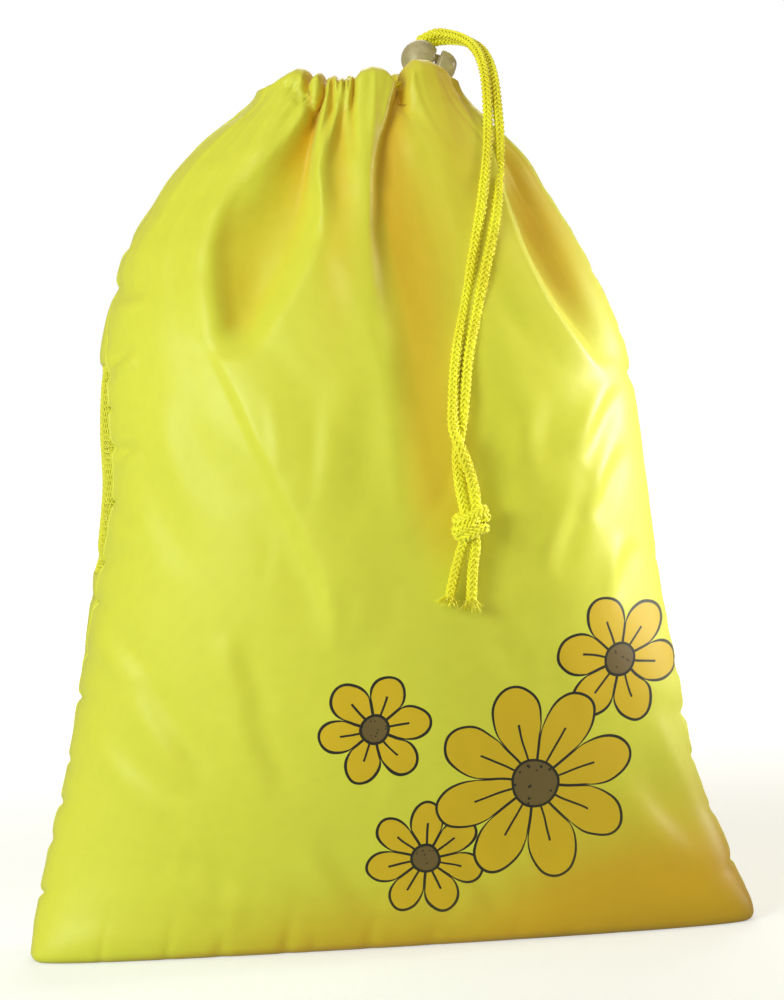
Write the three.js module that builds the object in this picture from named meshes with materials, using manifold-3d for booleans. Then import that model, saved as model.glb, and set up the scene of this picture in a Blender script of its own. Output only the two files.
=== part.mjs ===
// A drawstring bag of thin cloth that stands on its own base, about 290 mm wide and 350 mm high.
// A front panel and a back panel meet at two side seams and under the base. The back has a band of
// net for air. The top edge is turned in to a casing, and a cord gathers it to a narrow mouth. Both
// ends of the cord leave the casing at the back, go up through a ball cord lock with a press
// button, and hang down the front to a knot.
// Millimetres, +Z up, the front faces -Y, and the origin is on the floor under the middle.
import * as THREE from "three";
import { mergeVertices } from "three/addons/utils/BufferGeometryUtils.js";
import Module from "manifold-3d";

const wasm = await Module();
wasm.setup();

// The bag
const bagWidth = 292; // across the two bottom corners
const bagHeight = 348; // from the floor to the top of the casing
const bellyDepth = 132; // front to back where it is fullest
const bellyHeight = 185; // how high that is
const baseDepth = 50; // front to back on the floor
const baseEdge = 4; // the bevel between the base and the walls
const clothWall = 1.6; // cloth, lining and what is between them
const steepWall = 1.8; // a steep fold is cut at most this many times as thick, measured level
const seamGap = 0.3; // between two panels that are sewn together
const seamPucker = 0.9; // how far the side seams draw in between two puckers
const seamTurn = 17; // how far round to the front the left seam sits at the net, in degrees

// The gathered mouth and its casing
const mouthWidth = 76;
const mouthDepth = 52;
const mouthSag = 4; // the mouth is this much lower at the sides
const mouthPleat = 5; // how deep the deepest pleat is at the mouth
const bodyFold = 11; // how deep the deepest fold is below the mouth
const casingHeight = 15; // from the top fold to the stitching
const casingRise = 5; // the rounded top of the casing
const casingWave = 2.5; // how far the casing's inner side bulges between pleats
const casingRoom = 0.9; // round the cord in the casing
const hemGap = 0.4; // from the end of the turned-in cloth to the wall

// The net band in the back
const netBottom = 150;
const netHeight = 90;

// The cord
const cordDiameter = 3.8;
const cordClearance = 0.4;
const cordSides = 8;
const cordStep = 2.6 * cordDiameter;
const strandGap = 0.4; // between the two strands in the lock
const meetGap = 0.3; // where one length of cord meets the next
const knotSize = [13, 9.5, 11.5];

// The cord lock
const lockDiameter = 15.6;
const lockRise = 4.4; // from the top of the casing up to the ball's middle
const lockCentre = [29.5, 26.5, bagHeight + lockRise];
const lockTilt = -20; // its axis in degrees from level, to the right
const holeTilt = 45; // the cord holes lean back from upright by this many degrees
const lockFlat = 5.2; // from the ball's middle to its flat face
const buttonWidth = 12.4;
const buttonLength = 7.4;
const buttonTravel = 2;
const buttonGap = 2.2; // between the ball and the button
const stemDiameter = 8;
const stemClearance = 0.3;
const stemBack = 3.4; // how far behind the ball's middle the stem's prongs reach
const slotWidth = 23; // the buttonhole in the casing, through which the cord comes out
const slotHeight = 7;

// Sections of the bag. up: share of the height. open: 1 as wide as the bag, 0 as wide as the mouth.
// swell: 0 as deep as the base or the mouth, 1 as deep as the belly. point: over 1 pinches the
// sides to an edge, under 1 fills them out. lean: shift to the right, in shares of the width.
// turn: how much of seamTurn the left seam has.
const sections = [
  { up: 0.0, open: 1.0, swell: 0.0, point: 0.35, lean: 0.0, turn: 0.0 },
  { up: 0.023, open: 0.99, swell: 0.09, point: 0.5, lean: 0.0, turn: 0.0 },
  { up: 0.054, open: 0.96, swell: 0.19, point: 0.8, lean: -0.004, turn: 0.0 },
  { up: 0.1, open: 0.917, swell: 0.34, point: 1.05, lean: -0.006, turn: 0.0 },
  { up: 0.145, open: 0.869, swell: 0.47, point: 1.1, lean: -0.01, turn: 0.0 },
  { up: 0.19, open: 0.826, swell: 0.59, point: 1.08, lean: -0.009, turn: 0.0 },
  { up: 0.281, open: 0.773, swell: 0.78, point: 1.04, lean: -0.004, turn: 0.0 },
  { up: 0.395, open: 0.712, swell: 0.93, point: 1.0, lean: -0.002, turn: 0.55 },
  { up: 0.531, open: 0.654, swell: 1.0, point: 0.97, lean: 0.004, turn: 1.0 },
  { up: 0.6, open: 0.642, swell: 0.98, point: 0.95, lean: 0.001, turn: 1.0 },
  { up: 0.668, open: 0.619, swell: 0.89, point: 0.95, lean: -0.002, turn: 0.8 },
  { up: 0.713, open: 0.585, swell: 0.79, point: 0.95, lean: -0.007, turn: 0.5 },
  { up: 0.759, open: 0.531, swell: 0.67, point: 0.97, lean: -0.01, turn: 0.2 },
  { up: 0.804, open: 0.473, swell: 0.53, point: 1.0, lean: -0.015, turn: 0.0 },
  { up: 0.849, open: 0.382, swell: 0.4, point: 1.0, lean: -0.012, turn: 0.0 },
  { up: 0.895, open: 0.283, swell: 0.27, point: 0.97, lean: -0.007, turn: 0.0 },
  { up: 0.94, open: 0.135, swell: 0.13, point: 0.93, lean: -0.004, turn: 0.0 },
  { up: 0.972, open: 0.04, swell: 0.05, point: 0.9, lean: 0.004, turn: 0.0 },
  { up: 1.0, open: 0.0, swell: 0.0, point: 0.9, lean: 0.009, turn: 0.0 },
];

// Folds that run down from the mouth. at: place across the panel, -1 left seam to 1 right seam, at
// the mouth. drift: how far it moves across on its way down. narrow and wide: its half width at
// the mouth and at its end. pleat: its depth at the mouth, and sink: its depth below, as shares of
// the deepest. deepest and end: how far down those are, as shares of the height.
const frontFolds = [
  { at: -0.66, drift: -0.1, narrow: 0.12, wide: 0.2, pleat: 0.35, sink: 0.12, deepest: 0.08, end: 0.26 },
  { at: -0.36, drift: 0.0, narrow: 0.08, wide: 0.1, pleat: 0.9, sink: 0.2, deepest: 0.05, end: 0.12 },
  { at: -0.23, drift: -0.1, narrow: 0.07, wide: 0.24, pleat: 1.0, sink: 1.0, deepest: 0.14, end: 0.33 },
  { at: -0.1, drift: 0.02, narrow: 0.06, wide: 0.07, pleat: 0.9, sink: 0.3, deepest: 0.05, end: 0.16 },
  { at: 0.24, drift: -0.1, narrow: 0.09, wide: 0.26, pleat: 1.0, sink: 0.85, deepest: 0.1, end: 0.5 },
  { at: 0.56, drift: 0.06, narrow: 0.1, wide: 0.13, pleat: 0.3, sink: 0.75, deepest: 0.15, end: 0.31 },
];
const backFolds = [
  { at: -0.72, drift: 0.06, narrow: 0.12, wide: 0.2, pleat: 0.5, sink: 0.4, deepest: 0.1, end: 0.3 },
  { at: -0.45, drift: -0.04, narrow: 0.1, wide: 0.2, pleat: 1.0, sink: 0.7, deepest: 0.12, end: 0.34 },
  { at: -0.18, drift: 0.02, narrow: 0.09, wide: 0.12, pleat: 0.9, sink: 0.3, deepest: 0.06, end: 0.2 },
  { at: 0.06, drift: 0.02, narrow: 0.09, wide: 0.22, pleat: 1.0, sink: 0.8, deepest: 0.12, end: 0.38 },
  { at: 0.8, drift: -0.05, narrow: 0.11, wide: 0.2, pleat: 0.4, sink: 0.5, deepest: 0.12, end: 0.32 },
];

// Low swells of the full cloth below the folds. at and up: the middle. across and tall: half sizes.
// rise: outwards, as a share of the belly depth.
const frontSwells = [
  { at: -0.1, up: 0.34, across: 0.55, tall: 0.26, rise: 0.022 },
  { at: 0.55, up: 0.3, across: 0.4, tall: 0.22, rise: 0.016 },
  { at: 0.12, up: 0.2, across: 0.2, tall: 0.16, rise: -0.024 },
  { at: -0.62, up: 0.1, across: 0.35, tall: 0.09, rise: -0.022 },
];

// The cord in the casing, from where it leaves the lock to where it enters it: x, y and how far
// below the top of the casing
const casingRoute = [
  [19, 17, 6.2],
  [12.5, 16.4, 8],
  [4, 17.2, 7.8],
  [-6, 17, 8],
  [-14.5, 15, 8.6],
  [-22, 11.8, 9.5],
  [-27.4, 7, 10.2],
  [-29.6, 0, 10.5],
  [-27.4, -7, 10.2],
  [-22, -11.8, 9.5],
  [-14, -15.3, 8.6],
  [-5, -17, 8],
  [5, -17.3, 7.8],
  [14.5, -15.9, 8.2],
  [23, -12.9, 9.2],
  [29.5, -8, 10.1],
  [32.4, -1, 10.5],
  [32.2, 4.6, 10.4],
  [31, 10.6, 9],
];

// The cord's free strands, from the lock to the knot, and the tails below it: x, y and the height
// as a share of the bag's
const leftStrand = [
  [32.5, 33.4, 1.0385],
  [37, 31.4, 1.0425],
  [42, 26.5, 1.0391],
  [47, 18, 1.031],
  [50.6, 8.5, 1.0172],
  [52.3, -0.5, 0.9977],
  [52.7, -8.5, 0.9713],
  [51.9, -17, 0.9325],
  [49.8, -27.5, 0.8908],
  [45.9, -38.8, 0.8362],
  [41.2, -45.4, 0.7787],
  [36.6, -50.4, 0.7241],
  [32, -57.8, 0.6724],
  [29.6, -63.6, 0.6236],
  [29, -67.2, 0.5934],
  [31.4, -70.6, 0.5704],
  [34.8, -67.8, 0.5402],
  [36, -67, 0.5055],
];
const rightStrand = [
  [37.5, 34.6, 1.0345],
  [42.5, 32, 1.0345],
  [48, 24.5, 1.0305],
  [52.6, 15, 1.0195],
  [55.8, 5, 1.0023],
  [57.1, -3.5, 0.9799],
  [57.2, -11, 0.9511],
  [56.9, -19, 0.9152],
  [55.1, -27, 0.8721],
  [51, -39.4, 0.819],
  [45.8, -46.8, 0.7672],
  [41.2, -50.8, 0.7184],
  [36.8, -56.6, 0.6724],
  [34, -62.2, 0.625],
  [32.2, -64, 0.5948],
  [30, -65.8, 0.5661],
  [30.2, -66.4, 0.5388],
  [31.8, -67, 0.5055],
];
const knotCentre = [33.8, -68.6, 0.4885];
const leftTail = [
  [30.6, -67, 0.4701],
  [27.4, -66.8, 0.4397],
  [24.6, -66.6, 0.4124],
];
const rightTail = [
  [35.4, -66.6, 0.4695],
  [33.6, -65.8, 0.4382],
  [32.8, -65.2, 0.4066],
];

const smooth = (x) => {
  const u = Math.min(1, Math.max(0, x));
  return u * u * (3 - 2 * u);
};
const mix = (a, b, u) => a + (b - a) * u;

// A smooth curve through the rows of a table, by their column up.
function column(rows, key, up) {
  const last = rows.length - 1;
  let i = 0;
  while (i < last - 1 && rows[i + 1].up < up) i++;
  const at = (k) => rows[Math.min(last, Math.max(0, k))];
  const slope = (k) =>
    (at(k + 1)[key] - at(k - 1)[key]) / (at(k + 1).up - at(k - 1).up);
  const step = rows[i + 1].up - rows[i].up;
  const u = Math.min(1, Math.max(0, (up - rows[i].up) / step));
  const h = u * u * (3 - 2 * u);
  return (
    mix(rows[i][key], rows[i + 1][key], h) +
    step * u * (1 - u) * ((1 - u) * slope(i) - u * slope(i + 1))
  );
}

// The bag's section at a height: half width, half depth, shift, side shape and seam angle.
function sectionAt(z) {
  const up = z / bagHeight;
  const end = z < bellyHeight ? baseDepth : mouthDepth;
  return {
    halfWidth: mix(mouthWidth, bagWidth, column(sections, "open", up)) / 2,
    halfDepth: mix(end, bellyDepth, column(sections, "swell", up)) / 2,
    shift: column(sections, "lean", up) * bagWidth,
    point: column(sections, "point", up),
    turn: (column(sections, "turn", up) * seamTurn * Math.PI) / 180,
  };
}

// A point of the smooth outline at a height, without folds. side: -1 front, 1 back. s: -1 at the
// left seam, 1 at the right seam.
function outline(side, s, z) {
  const { halfWidth, halfDepth, shift, point, turn } = sectionAt(z);
  const left = Math.PI / 2 + side * turn;
  const angle = mix(-left, Math.PI / 2, (s + 1) / 2);
  const cos = Math.cos(angle);
  const deep = Math.sign(cos) * Math.pow(Math.abs(cos), point);
  return new THREE.Vector2(shift + halfWidth * Math.sin(angle), side * halfDepth * deep);
}

// The level direction that points out of the bag at a place on the outline.
function outward(side, s, z) {
  const step = 0.004;
  const along = outline(side, s + step, z)
    .sub(outline(side, s - step, z))
    .normalize();
  return new THREE.Vector2(-side * along.y, side * along.x);
}

// Moves a point of a panel to its own side of the nearer side seam.
function clearSeam(side, s, p) {
  const end = s < 0 ? -1 : 1;
  const seam = outline(side, end, Math.min(p.z, bagHeight));
  const out = outward(side, end, Math.min(p.z, bagHeight));
  const ahead = new THREE.Vector2(-end * side * out.y, end * side * out.x);
  const room = (p.x - seam.x) * ahead.x + (p.y - seam.y) * ahead.y;
  const short = Math.max(0, seamGap / 2 - room);
  p.x += short * ahead.x;
  p.y += short * ahead.y;
  return p;
}

// How far a panel's folds lie inside its outline.
function foldInset(side, s, z) {
  const down = 1 - z / bagHeight;
  let inset = 0;
  for (const f of side < 0 ? frontFolds : backFolds) {
    const way = Math.min(1, Math.max(0, down / f.end));
    const middle = f.at + f.drift * way;
    const half = mix(f.narrow, f.wide, Math.pow(way, 0.8));
    const off = Math.abs(s - middle) / half;
    if (off >= 1 || down > f.end) continue;
    const leaving = 1 - smooth(down / (f.deepest * 1.2));
    const growing = smooth(down / f.deepest) * (1 - smooth((down - f.deepest) / (f.end - f.deepest)));
    const depth = f.pleat * mouthPleat * leaving + f.sink * bodyFold * growing;
    inset += depth * Math.pow(Math.cos((off * Math.PI) / 2), 2);
  }
  for (const w of side < 0 ? frontSwells : []) {
    const off = Math.hypot((s - w.at) / w.across, (z / bagHeight - w.up) / w.tall);
    if (off < 1) inset -= w.rise * bellyDepth * Math.pow(Math.cos((off * Math.PI) / 2), 2);
  }
  const edge = smooth((Math.abs(s) - 0.9) / 0.1);
  const puckers = 0.5 + 0.5 * Math.sin(z / 7 + 3 * Math.sin(z / 31));
  return inset + edge * seamPucker * puckers * smooth(z / bagHeight / 0.05) * smooth(down / 0.1);
}

// A point of the cloth at a level inset from the outline.
function place(side, s, z, inset) {
  const at = outline(side, s, z).addScaledVector(outward(side, s, z), -inset);
  return new THREE.Vector3(at.x, at.y, z);
}

// How thick the cloth is when it is measured level, so that it stays clothWall thick on a slope.
function levelWall(side, s, z) {
  const step = 1.5;
  const low = Math.max(baseEdge, z - step);
  const high = Math.min(bagHeight, z + step);
  const left = Math.max(-1, s - 0.02);
  const right = Math.min(1, s + 0.02);
  const point = (a, b) => place(side, a, b, foldInset(side, a, b));
  const along = point(right, z).sub(point(left, z));
  const up = point(s, high).sub(point(s, low));
  const normal = along.cross(up).normalize();
  const out = outward(side, s, z);
  const facing = Math.abs(normal.x * out.x + normal.y * out.y);
  return clothWall * Math.min(steepWall, 1 / Math.max(facing, 0.1));
}

// One row of a panel's solid: its outer and inner points from seam to seam.
const across = (columns, point) =>
  Array.from({ length: columns + 1 }, (_, i) => point(-1 + (2 * i) / columns));

function wallRow(side, columns, z) {
  const at = (s, inset) => clearSeam(side, s, place(side, s, z, inset));
  return {
    outer: across(columns, (s) => at(s, foldInset(side, s, z))),
    inner: across(columns, (s) => at(s, foldInset(side, s, z) + levelWall(side, s, z))),
  };
}

// The base: cloth on the floor from the seam under the middle to the bevel at its edge.
function baseRows(side, columns) {
  const edge = (s, inset, z) => {
    const p = place(side, s, 0, inset);
    p.y = side * Math.max(seamGap, side * p.y);
    p.z = z;
    return p;
  };
  const seam = (s, inset, z) => {
    const p = edge(s, inset, z);
    p.y = (side * seamGap) / 2;
    return p;
  };
  const inside = baseEdge + clothWall / 2;
  return [
    {
      outer: across(columns, (s) => seam(s, baseEdge, 0)),
      inner: across(columns, (s) => seam(s, inside, clothWall)),
    },
    {
      outer: across(columns, (s) => edge(s, baseEdge, 0)),
      inner: across(columns, (s) => edge(s, inside, clothWall)),
    },
  ];
}

// The casing: the cloth rolls over the top and comes down inside to the stitching, with room for
// the cord between. The cord lies at this inset from the outline.
const cordInset = mouthPleat + clothWall * steepWall + casingRoom + cordDiameter / 2;
const casingTop = bagHeight - casingRise;

const mouthLift = (s) => -mouthSag * Math.pow(Math.sin((s * Math.PI) / 2), 2);

function casingRows(side, columns) {
  const wallAt = (s, z) => foldInset(side, s, z) + levelWall(side, s, z);
  const liner = (s) => {
    const ridge = 1 - foldInset(side, s, bagHeight) / mouthPleat;
    return cordInset + cordDiameter / 2 + casingRoom + casingWave * Math.max(0, ridge);
  };
  const dip = (s) => 0.7 * foldInset(side, s, bagHeight);
  const at = (s, inset, z) => {
    const p = place(side, s, Math.min(z, casingTop), inset);
    p.z = z + mouthLift(s) * smooth((z - casingTop + casingHeight) / casingHeight);
    return clearSeam(side, s, p);
  };
  const rollRow = (angle) => {
    const lift = Math.sin(angle);
    const over = (1 - Math.cos(angle)) / 2;
    return {
      outer: across(columns, (s) =>
        at(
          s,
          mix(foldInset(side, s, casingTop), liner(s) + clothWall, over),
          casingTop + lift * (casingRise - dip(s)),
        ),
      ),
      inner: across(columns, (s) =>
        at(
          s,
          mix(wallAt(s, casingTop), liner(s), over),
          casingTop + lift * (casingRise - dip(s) - clothWall),
        ),
      ),
    };
  };
  const linerRow = (down) => {
    const z = bagHeight - down * casingHeight;
    const close = smooth((down - 0.6) / 0.4);
    const inset = (s) => mix(liner(s), wallAt(s, z) + hemGap, close);
    return {
      outer: across(columns, (s) => at(s, inset(s) + clothWall, z)),
      inner: across(columns, (s) => at(s, inset(s), z)),
    };
  };
  const rolls = [0, 0.25, 0.5, 0.75, 1].map((share) => rollRow(share * Math.PI));
  return [...rolls, ...[0.6, 0.8, 1].map(linerRow)];
}

// The closed solid between the outer and the inner points of a list of rows.
function sheetSolid(rows, side) {
  const columns = rows[0].outer.length;
  const points = [];
  const faces = [];
  for (const face of ["outer", "inner"])
    for (const row of rows) for (const p of row[face]) points.push(p.x, p.y, p.z);
  const index = (face, i, j) => (face * rows.length + i) * columns + j;
  const quad = (a, b, c, d) =>
    side < 0 ? faces.push(a, b, c, a, c, d) : faces.push(a, c, b, a, d, c);
  for (let i = 0; i < rows.length - 1; i++) {
    for (let j = 0; j < columns - 1; j++) {
      quad(index(0, i, j), index(0, i, j + 1), index(0, i + 1, j + 1), index(0, i + 1, j));
      quad(index(1, i, j), index(1, i + 1, j), index(1, i + 1, j + 1), index(1, i, j + 1));
    }
    const end = columns - 1;
    quad(index(0, i, 0), index(0, i + 1, 0), index(1, i + 1, 0), index(1, i, 0));
    quad(index(0, i, end), index(1, i, end), index(1, i + 1, end), index(0, i + 1, end));
  }
  const top = rows.length - 1;
  for (let j = 0; j < columns - 1; j++) {
    quad(index(0, 0, j), index(1, 0, j), index(1, 0, j + 1), index(0, 0, j + 1));
    quad(index(0, top, j), index(0, top, j + 1), index(1, top, j + 1), index(1, top, j));
  }
  const geometry = new THREE.BufferGeometry();
  geometry.setAttribute("position", new THREE.Float32BufferAttribute(points, 3));
  geometry.setIndex(faces);
  return geometry;
}

// Heights of wall rows between two levels, with the closest rows at the top if crowd is over 1.
const levels = (low, high, count, crowd = 1) =>
  Array.from({ length: count + 1 }, (_, i) => mix(low, high, 1 - Math.pow(1 - i / count, crowd)));

const wallRows = (side, columns, heights) => heights.map((z) => wallRow(side, columns, z));

// Solids for cutting and joining
function toSolid(geometry) {
  const bare = geometry.index ? geometry.toNonIndexed() : geometry.clone();
  bare.deleteAttribute("normal");
  bare.deleteAttribute("uv");
  const merged = mergeVertices(bare, 1e-4);
  return new wasm.Manifold(
    new wasm.Mesh({
      numProp: 3,
      vertProperties: merged.attributes.position.array,
      triVerts: new Uint32Array(merged.index.array),
    }),
  );
}

function toGeometry(solid) {
  const mesh = solid.getMesh();
  const geometry = new THREE.BufferGeometry();
  geometry.setAttribute("position", new THREE.BufferAttribute(mesh.vertProperties.slice(), 3));
  geometry.setIndex(new THREE.BufferAttribute(mesh.triVerts.slice(), 1));
  return geometry;
}

// A round cord along points.
function cordGeometry(points, radius = cordDiameter / 2) {
  const path = new THREE.CatmullRomCurve3(
    points.map((p) => new THREE.Vector3(...p)),
    false,
    "centripetal",
  );
  const section = new THREE.Shape(
    Array.from({ length: cordSides }, (_, i) => {
      const angle = ((i + 0.5) * 2 * Math.PI) / cordSides;
      return new THREE.Vector2(radius * Math.cos(angle), radius * Math.sin(angle));
    }),
  );
  return new THREE.ExtrudeGeometry(section, {
    steps: Math.max(2, Math.round(path.getLength() / cordStep)),
    extrudePath: path,
    bevelEnabled: false,
  });
}

const cloth = (color, roughness) =>
  new THREE.MeshStandardMaterial({ color, roughness, metalness: 0 });
const satin = cloth(0xe6dc1e, 0.42);
const net = cloth(0xe2d418, 0.7);
const braid = cloth(0xe8e014, 0.65);
const beige = new THREE.MeshStandardMaterial({ color: 0xb9a877, roughness: 0.4, metalness: 0 });

const bag = new THREE.Group();

function add(name, geometry, material) {
  const mesh = new THREE.Mesh(geometry, material);
  mesh.name = name;
  bag.add(mesh);
  return mesh;
}

// Heights of the rows, the same in front and back, so that the side seams fit
const stitchHeight = bagHeight - casingHeight;
const netTop = netBottom + netHeight;
const lowerLevels = levels(baseEdge, netBottom, 7);
const netLevels = levels(netBottom, netTop, 4);
const upperLevels = levels(netTop, stitchHeight, 8, 1.1);
const panelGap = seamGap / 2;
const trimmed = (heights, below, above) =>
  heights.map((z, i) => (i === 0 ? z + below : i === heights.length - 1 ? z - above : z));

// The front panel is one piece of cloth: base, wall and casing.
const frontColumns = 40;
add(
  "front_panel",
  sheetSolid(
    [
      ...baseRows(-1, frontColumns),
      ...wallRows(-1, frontColumns, [
        ...lowerLevels,
        ...netLevels.slice(1),
        ...upperLevels.slice(1),
      ]),
      ...casingRows(-1, frontColumns),
    ],
    -1,
  ),
  satin,
);

// The back is cloth below and above a band of net. The cord comes out of a slot in its casing.
const backColumns = 30;
add(
  "back_lower_panel",
  sheetSolid(
    [
      ...baseRows(1, backColumns),
      ...wallRows(1, backColumns, trimmed(lowerLevels, 0, panelGap)),
    ],
    1,
  ),
  satin,
);
add(
  "mesh_band",
  sheetSolid(wallRows(1, backColumns, trimmed(netLevels, panelGap, panelGap)), 1),
  net,
);
const backUpper = sheetSolid(
  [
    ...wallRows(1, backColumns, trimmed(upperLevels, panelGap, 0)),
    ...casingRows(1, backColumns),
  ],
  1,
);

// The lock's own frame: Y is its axis, towards the button, and Z runs along the cord holes.
const axisAngle = (lockTilt * Math.PI) / 180;
const leanAngle = (holeTilt * Math.PI) / 180;
const lockAxis = new THREE.Vector3(Math.cos(axisAngle), 0, Math.sin(axisAngle));
const lockUp = new THREE.Vector3(-Math.sin(axisAngle), 0, Math.cos(axisAngle));
const holeAxis = lockUp
  .clone()
  .multiplyScalar(Math.cos(leanAngle))
  .add(new THREE.Vector3(0, Math.sin(leanAngle), 0));
const lockFrame = new THREE.Matrix4()
  .makeBasis(lockAxis.clone().cross(holeAxis), lockAxis, holeAxis)
  .setPosition(...lockCentre);
const inLock = (x, y, z) => new THREE.Vector3(x, y, z).applyMatrix4(lockFrame).toArray();

// A prism with half-round ends, long across the lock's cord holes, between two levels of its Z.
function slotGeometry(length, width, low, high) {
  const r = width / 2;
  const shape = new THREE.Shape();
  shape.absarc(0, length / 2 - r, r, 0, Math.PI);
  shape.absarc(0, r - length / 2, r, Math.PI, 2 * Math.PI);
  const options = { depth: high - low, bevelEnabled: false, curveSegments: 8 };
  return new THREE.ExtrudeGeometry(shape, options).translate(0, 0, low);
}

const cordCentre = (cordDiameter + strandGap) / 2;
const holeLength = 2 * (cordCentre + cordDiameter / 2 + cordClearance);
const holeWidth = cordDiameter + 2 * cordClearance;
const ballRadius = lockDiameter / 2;
const casingSlot = slotGeometry(slotWidth, slotHeight, -2.5 * ballRadius, -0.5 * ballRadius);
add(
  "back_upper_panel",
  toGeometry(toSolid(backUpper).subtract(toSolid(casingSlot.applyMatrix4(lockFrame)))),
  satin,
);

// The ball of the lock, with a flat face, a bore for the stem and a hole for the two cords
const arcPoints = (radius, from, to, steps, y = 0) =>
  Array.from({ length: steps + 1 }, (_, i) => {
    const angle = mix(from, to, i / steps);
    return new THREE.Vector2(Math.abs(radius * Math.sin(angle)), y - radius * Math.cos(angle));
  });
const lockSegments = 28;
const flatAngle = Math.acos(-lockFlat / ballRadius);
const ball = new THREE.LatheGeometry(
  [...arcPoints(ballRadius, 0, flatAngle, 11), new THREE.Vector2(0, lockFlat)],
  lockSegments,
);
const bore = new THREE.CylinderGeometry(
  stemDiameter / 2 + stemClearance,
  stemDiameter / 2 + stemClearance,
  stemBack + buttonTravel + stemClearance + 2 * lockFlat,
  lockSegments,
);
bore.translate(0, bore.parameters.height / 2 - stemBack - buttonTravel - stemClearance, 0);
const cordHole = slotGeometry(holeLength, holeWidth, -lockDiameter, lockDiameter);
add(
  "lock_body",
  toGeometry(toSolid(ball).subtract(toSolid(bore)).subtract(toSolid(cordHole))).applyMatrix4(
    lockFrame,
  ),
  beige,
);

// The button: a dome on a stem that is forked round the cords
const buttonFace = lockFlat + buttonGap;
const buttonEnd = buttonFace + buttonLength;
const buttonRadius = buttonWidth / 2;
const buttonProfile = [
  [0, -stemBack],
  [stemDiameter / 2 - 0.5, -stemBack],
  [stemDiameter / 2, 0.5 - stemBack],
  [stemDiameter / 2, buttonFace],
  [buttonRadius - 0.5, buttonFace],
  [buttonRadius, buttonFace + 0.5],
  [buttonRadius, buttonFace + 0.25 * buttonLength],
  [0.95 * buttonRadius, buttonFace + 0.5 * buttonLength],
  [0.82 * buttonRadius, buttonFace + 0.74 * buttonLength],
  [0.62 * buttonRadius, buttonFace + 0.92 * buttonLength],
  [0.35 * buttonRadius, buttonEnd],
  [0, buttonEnd],
];
const buttonSolid = toSolid(
  new THREE.LatheGeometry(
    buttonProfile.map(([x, y]) => new THREE.Vector2(x, y)),
    lockSegments,
  ),
);
const forkTop = holeLength / 2 + buttonTravel;
const fork = slotGeometry(2 * (forkTop + stemDiameter), holeWidth, -lockDiameter, lockDiameter);
fork.translate(0, -(forkTop + stemDiameter) + forkTop, 0);
add(
  "lock_button",
  toGeometry(buttonSolid.subtract(toSolid(fork))).applyMatrix4(lockFrame),
  beige,
);

// The cord: round the casing and through the lock, then two strands to the knot and two tails
const lockFace = ballRadius + cordClearance;
const belowTop = ([x, y, down]) => [x, y, bagHeight - down];
const atShare = ([x, y, share]) => [x, y, share * bagHeight];
const through = (y) => [lockFace, 0, -lockFace - 0.5 * cordDiameter].map((z) => inLock(0, y, z));
add(
  "casing_cord",
  cordGeometry([
    ...through(-cordCentre),
    ...casingRoute.map(belowTop),
    ...through(cordCentre).reverse(),
  ]),
  braid,
);
const startOf = (y) => [0, 0.5 * cordDiameter].map((z) => inLock(0, y, lockFace + meetGap + z));
const strand = (y, points) => cordGeometry([...startOf(y), ...points.map(atShare)]);
add("strand_left", strand(-cordCentre, leftStrand), braid);
add("strand_right", strand(cordCentre, rightStrand), braid);
const knot = new THREE.SphereGeometry(0.5, 20, 12).scale(...knotSize);
add("cord_knot", knot.translate(...atShare(knotCentre)), braid);
add("tail_left", cordGeometry(leftTail.map(atShare)), braid);
add("tail_right", cordGeometry(rightTail.map(atShare)), braid);

export default bag;
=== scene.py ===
"""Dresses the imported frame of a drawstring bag: satin cloth, net, braided cord and ball lock."""

import math
from functools import partial

import bpy
import numpy as np
from bpy.props import FloatProperty, FloatVectorProperty, IntProperty, PointerProperty
from bpy.types import Operator, Panel, PropertyGroup
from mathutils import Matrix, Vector


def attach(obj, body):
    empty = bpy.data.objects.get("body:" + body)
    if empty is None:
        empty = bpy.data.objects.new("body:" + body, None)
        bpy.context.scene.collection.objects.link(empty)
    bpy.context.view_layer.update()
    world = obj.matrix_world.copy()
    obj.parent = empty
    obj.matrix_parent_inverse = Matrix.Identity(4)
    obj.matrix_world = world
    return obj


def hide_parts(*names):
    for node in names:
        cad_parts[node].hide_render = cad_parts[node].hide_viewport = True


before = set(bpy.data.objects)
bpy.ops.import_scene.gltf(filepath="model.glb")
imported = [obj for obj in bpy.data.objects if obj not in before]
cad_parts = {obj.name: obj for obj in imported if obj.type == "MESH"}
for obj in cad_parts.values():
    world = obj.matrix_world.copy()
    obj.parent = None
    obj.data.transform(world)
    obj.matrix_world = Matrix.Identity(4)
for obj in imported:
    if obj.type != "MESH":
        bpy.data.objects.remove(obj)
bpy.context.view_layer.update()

bl_info = {
    "name": "Drawstring bag",
    "version": (1, 0, 0),
    "blender": (4, 5, 0),
    "location": "View3D > Sidebar > Bag",
    "description": "Builds a gathered cloth bag with a net band, a braided cord and a ball lock",
    "category": "Object",
}

MM = 0.001
FRONT, BACK = -1, 1

# The bag's own sizes, in millimetres, as its solids have them
BAG_WIDTH = 292.0
BAG_HEIGHT = 348.0
BELLY_DEPTH = 132.0
BELLY_HEIGHT = 185.0
BASE_DEPTH = 50.0
BASE_EDGE = 4.0
MOUTH_WIDTH = 76.0
MOUTH_DEPTH = 52.0
SEAM_GAP = 0.3
SEAM_TURN = math.radians(17.0)
CASING_HEIGHT = 15.0
CASING_RISE = 5.0
CASING_TOP = BAG_HEIGHT - CASING_RISE
SINK_REACH = 1.6 * CASING_HEIGHT
LINER_INSET = 12.6
BASE_SHARES = (0.0, 0.35, 0.7, 0.9)
SEAM_ROLL, SEAM_ROLL_START = 0.9, 0.985
NET_BOTTOM = 150.0
NET_TOP = 240.0
NET_LAP = 4.0
CORD_WIDTH = 3.8

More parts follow.
